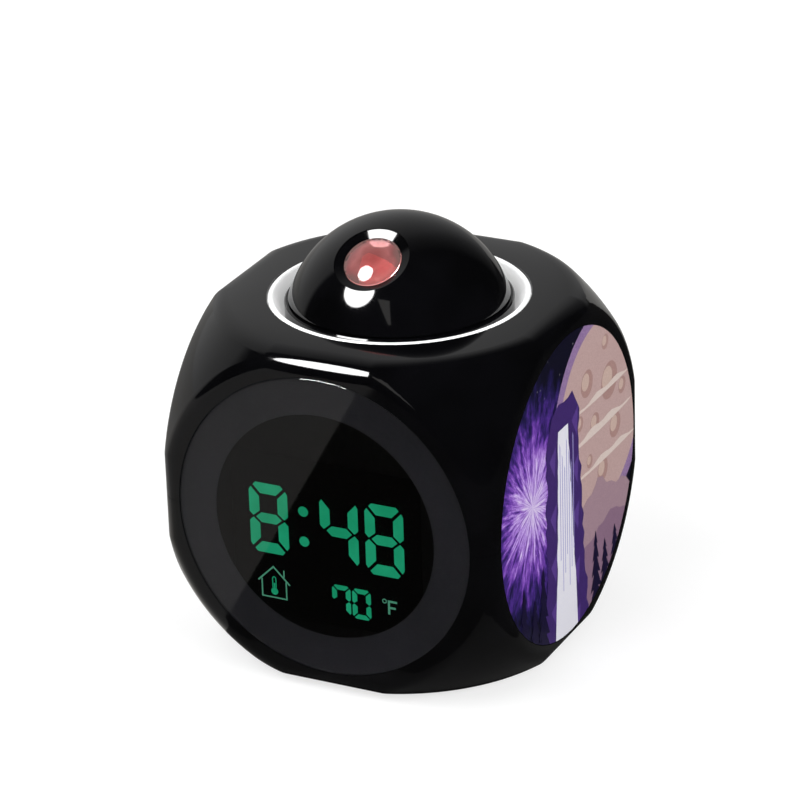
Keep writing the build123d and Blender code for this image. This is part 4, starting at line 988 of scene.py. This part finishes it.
# %% Floor
floor_paper = bpy.data.materials.new("paper_white_seamless")
floor_paper.use_nodes = True
tree = floor_paper.node_tree
tree.nodes.clear()
place = add_node(tree, "ShaderNodeTexCoord").outputs["Object"]
tone, _ = mottle(tree, place, 30.0, srgb("#a0a0a0"), srgb("#a4a4a4"))
diffuse = add_node(tree, "ShaderNodeBsdfDiffuse", None, {"Color": tone})
lift = add_node(tree, "ShaderNodeEmission", None, {"Color": srgb("#ffffff"), "Strength": 0.7})
only_seen = add_node(tree, "ShaderNodeMixShader", None, {
    0: any_of(tree, "Is Camera Ray", "Is Glossy Ray", "Is Transmission Ray"), 2: lift.outputs[0]})
paper = add_node(tree, "ShaderNodeAddShader", None, {0: diffuse.outputs[0], 1: only_seen.outputs[0]})
underside = add_node(tree, "ShaderNodeNewGeometry").outputs["Backfacing"]
clear = add_node(tree, "ShaderNodeBsdfTransparent")
one_sided = add_node(tree, "ShaderNodeMixShader", None, {
    0: underside, 1: paper.outputs[0], 2: clear.outputs[0]})
add_node(tree, "ShaderNodeOutputMaterial", None, {"Surface": one_sided.outputs[0]})
HALF_FLOOR = 6.0
studio_piece("floor", [(-HALF_FLOOR, -HALF_FLOOR, 0), (HALF_FLOOR, -HALF_FLOOR, 0),
                       (HALF_FLOOR, HALF_FLOOR, 0), (-HALF_FLOOR, HALF_FLOOR, 0)], floor_paper)
print("floor:", 2 * HALF_FLOOR, "m square")

# %% [markdown]
# The room round the table is dark, except for a pale wall behind the clock on its left. The gloss
# plastic picks that wall up as soft grey edges and a grey sheen on the top face, and stays black
# towards the room. Light that only brightens matt surfaces comes evenly from everywhere.

# %% Room
def compass(turn_deg, rise_deg):
    """A direction from the clock: turn 0 is in front of it, 90 on its right."""
    turn, rise = math.radians(turn_deg), math.radians(rise_deg)
    return Vector((math.sin(turn) * math.cos(rise), -math.cos(turn) * math.cos(rise), math.sin(rise)))


def grey(level):
    """A grey of a level in linear light."""
    return (level, level, level, 1)


WALL_MIDDLE = compass(-125, 15)
WALL_SIDE = compass(-175, 0)
world = bpy.data.worlds.new("studio")
bpy.context.scene.world = world
world.use_nodes = True
tree = world.node_tree
tree.nodes.clear()
direction = add_node(tree, "ShaderNodeTexCoord").outputs["Generated"]
near_wall = add_node(tree, "ShaderNodeVectorMath", {"operation": "DOT_PRODUCT"},
                     {0: direction, 1: WALL_MIDDLE})
wall = add_node(tree, "ShaderNodeValToRGB", None, {"Fac": near_wall.outputs["Value"]})
set_tones(wall.color_ramp, (0.3, grey(0.005)), (1.0, grey(0.45)), (
    (0.45, grey(0.06)), (0.55, grey(0.11)), (0.66, grey(0.21)), (0.78, grey(0.29)), (0.88, grey(0.35))))
past_edge = add_node(tree, "ShaderNodeVectorMath", {"operation": "DOT_PRODUCT"},
                     {0: direction, 1: WALL_SIDE})
wall_edge = add_node(tree, "ShaderNodeMapRange", None, {
    "Value": past_edge.outputs["Value"], "From Min": -0.04, "From Max": 0.05, "To Min": 0.04})
AMBIENT = 0.6
soft = add_node(tree, "ShaderNodeBackground", None, {"Color": grey(1), "Strength": AMBIENT})
room = add_node(tree, "ShaderNodeBackground", None, {
    "Color": wall.outputs["Color"], "Strength": wall_edge.outputs["Result"]})
white = add_node(tree, "ShaderNodeBackground", None, {"Color": grey(1), "Strength": 1.0})
shown = soft.outputs[0]
for kind, background in (("Is Glossy Ray", room), ("Is Camera Ray", white)):
    shown = add_node(tree, "ShaderNodeMixShader", None, {
        0: any_of(tree, kind), 1: shown, 2: background.outputs[0]}).outputs[0]
add_node(tree, "ShaderNodeOutputWorld", None, {"Surface": shown})
print("nodes in the room's light:", len(tree.nodes))

# %% [markdown]
# One round softbox over the viewer's left shoulder draws the bright disc on the dome and the
# tapered line on the front edge of the top. Two wide lamps light the matt surfaces: they are too
# large and too soft to show in the gloss, so they are kept out of it.

# %% Lamps
AIM = Vector((0.0, 0.0, 0.0713))


def lamp(name, turn_deg, rise_deg, far, wide, power):
    """A round area lamp that points at the clock."""
    out = compass(turn_deg, rise_deg)
    data = bpy.data.lights.new(name, "AREA")
    data.shape, data.size, data.energy = "DISK", wide, power
    made = bpy.data.objects.new(name, data)
    bpy.context.scene.collection.objects.link(made)
    made.location = AIM + out * far
    made.rotation_mode = "QUATERNION"
    made.rotation_quaternion = (-out).to_track_quat("-Z", "Y")
    return made


SOFTBOX_FAR, SOFTBOX_HALF_ANGLE = 1.6, math.radians(15.2)
WIDE_FAR, WIDE_SIZE = 2.2, 1.6
softbox = lamp("softbox_round", -34.5, 47.0, SOFTBOX_FAR,
               2 * SOFTBOX_FAR * math.tan(SOFTBOX_HALF_ANGLE), 52)
softbox.visible_diffuse = False
key = lamp("wide_front_left", -30, 50, WIDE_FAR, WIDE_SIZE, 28)
fill = lamp("wide_right", 70, 28, WIDE_FAR, WIDE_SIZE, 26)
for wide_lamp in (key, fill):
    wide_lamp.visible_glossy = False
    wide_lamp.visible_transmission = False
print("softbox across:", round(softbox.data.size, 2), "m")

# %% [markdown]
# Black cards keep the white floor out of the lens, out of the right side and out of the case's
# lower edge. They lie just above the floor and only the reflections see them. The card on the
# left is grey, and the straight edge between the two draws the slanting glare on the lens. A pale
# card further back draws the light rim on the left of the case, and a small dim one, nearest the
# clock, keeps the foot of the case a little lighter than black. A narrow light stand draws the
# small mark on the front of the dome.

# %% Cards on the floor and a light stand
def card(name, corners, level):
    """A card that only shows in reflections, of an even brightness."""
    finish = bpy.data.materials.new("card_" + name)
    finish.use_nodes = True
    tree = finish.node_tree
    tree.nodes.clear()
    place = add_node(tree, "ShaderNodeTexCoord").outputs["Object"]
    tone, _ = mottle(tree, place, 60.0, (level, level * 0.96, level * 0.9, 1), grey(level))
    glow = add_node(tree, "ShaderNodeEmission", None, {"Color": tone, "Strength": 1.0})
    add_node(tree, "ShaderNodeOutputMaterial", None, {"Surface": glow.outputs[0]})
    made = studio_piece(name, corners, finish)
    made.visible_camera = made.visible_diffuse = made.visible_shadow = False


def floor_card(name, level, lift, *corners):
    """A card that lies just above the floor, from its corners on the floor in metres."""
    card(name, [(*corner, lift) for corner in corners], level)


FAR = 5.9
GREY_END, PALE_END = (-0.032, -0.042), (0.03, 0.03)
GREY_FAR_END = (-1.4, -FAR)
CARD_LIFT = 0.0015
floor_card("grey_floor_card", 0.25, CARD_LIFT,
           GREY_END, GREY_FAR_END, (-FAR, -FAR), (-FAR, GREY_END[1]))
floor_card("pale_floor_card", 0.33, CARD_LIFT,
           GREY_END, (-FAR, GREY_END[1]), (-FAR, FAR), (PALE_END[0], FAR), PALE_END)
floor_card("black_floor_card", 0.02, CARD_LIFT,
           GREY_END, PALE_END, (PALE_END[0], FAR), (FAR, FAR), (FAR, -FAR), GREY_FAR_END)
floor_card("dim_floor_card", 0.06, 2 * CARD_LIFT,
           (-0.032, -0.045), (0.05, -0.045), (0.05, 0.0), (-0.032, 0.0))
STAND_FAR = 1.4
card("light_stand", [AIM + compass(turn, rise) * STAND_FAR
                     for turn, rise in ((-4, 47), (13, 47), (17, 24), (14, 24))], 0.7)
print("lamps:", len(bpy.data.lights))

# %% [markdown]
# A long lens from about a metre away keeps the cube's edges nearly parallel, as in a catalogue.
# The camera stands to the right of the clock and above it, so that the display, one printed side
# and the top all show. Its three axes are written as unit vectors: right, up and back. The
# Standard view keeps each colour as it is written.

# %% Camera
CAMERA_AXES = ((0.8976199, 0.4397822, -0.0294972), (-0.1564444, 0.3804465, 0.9114744),
               (0.4120723, -0.8135429, 0.4102978))
CAMERA_PLACE = Vector((0.379827, -0.751220, 0.432312))
SENSOR_MM, FOCAL_MM = 36.0, 188.834
lens_data = bpy.data.cameras.new("camera")
lens_data.sensor_width, lens_data.lens = SENSOR_MM, FOCAL_MM
lens_data.clip_start, lens_data.clip_end = 0.05, 50.0
camera = bpy.data.objects.new("camera", lens_data)
bpy.context.scene.collection.objects.link(camera)
camera.matrix_world = Matrix.Translation(CAMERA_PLACE) @ Matrix(CAMERA_AXES).transposed().to_4x4()
bpy.context.scene.camera = camera
bpy.context.scene.view_settings.view_transform = "Standard"
print("from the camera to the clock:", round((CAMERA_PLACE - AIM).length, 2), "m")

# %% [markdown]
# Last, the box of all that showed when the CAD model was loaded is printed again. Nothing that was
# added is meant to stick out of the clock.

print("cad box", [round(v / MM, 2) for corner in cad_box for v in corner])
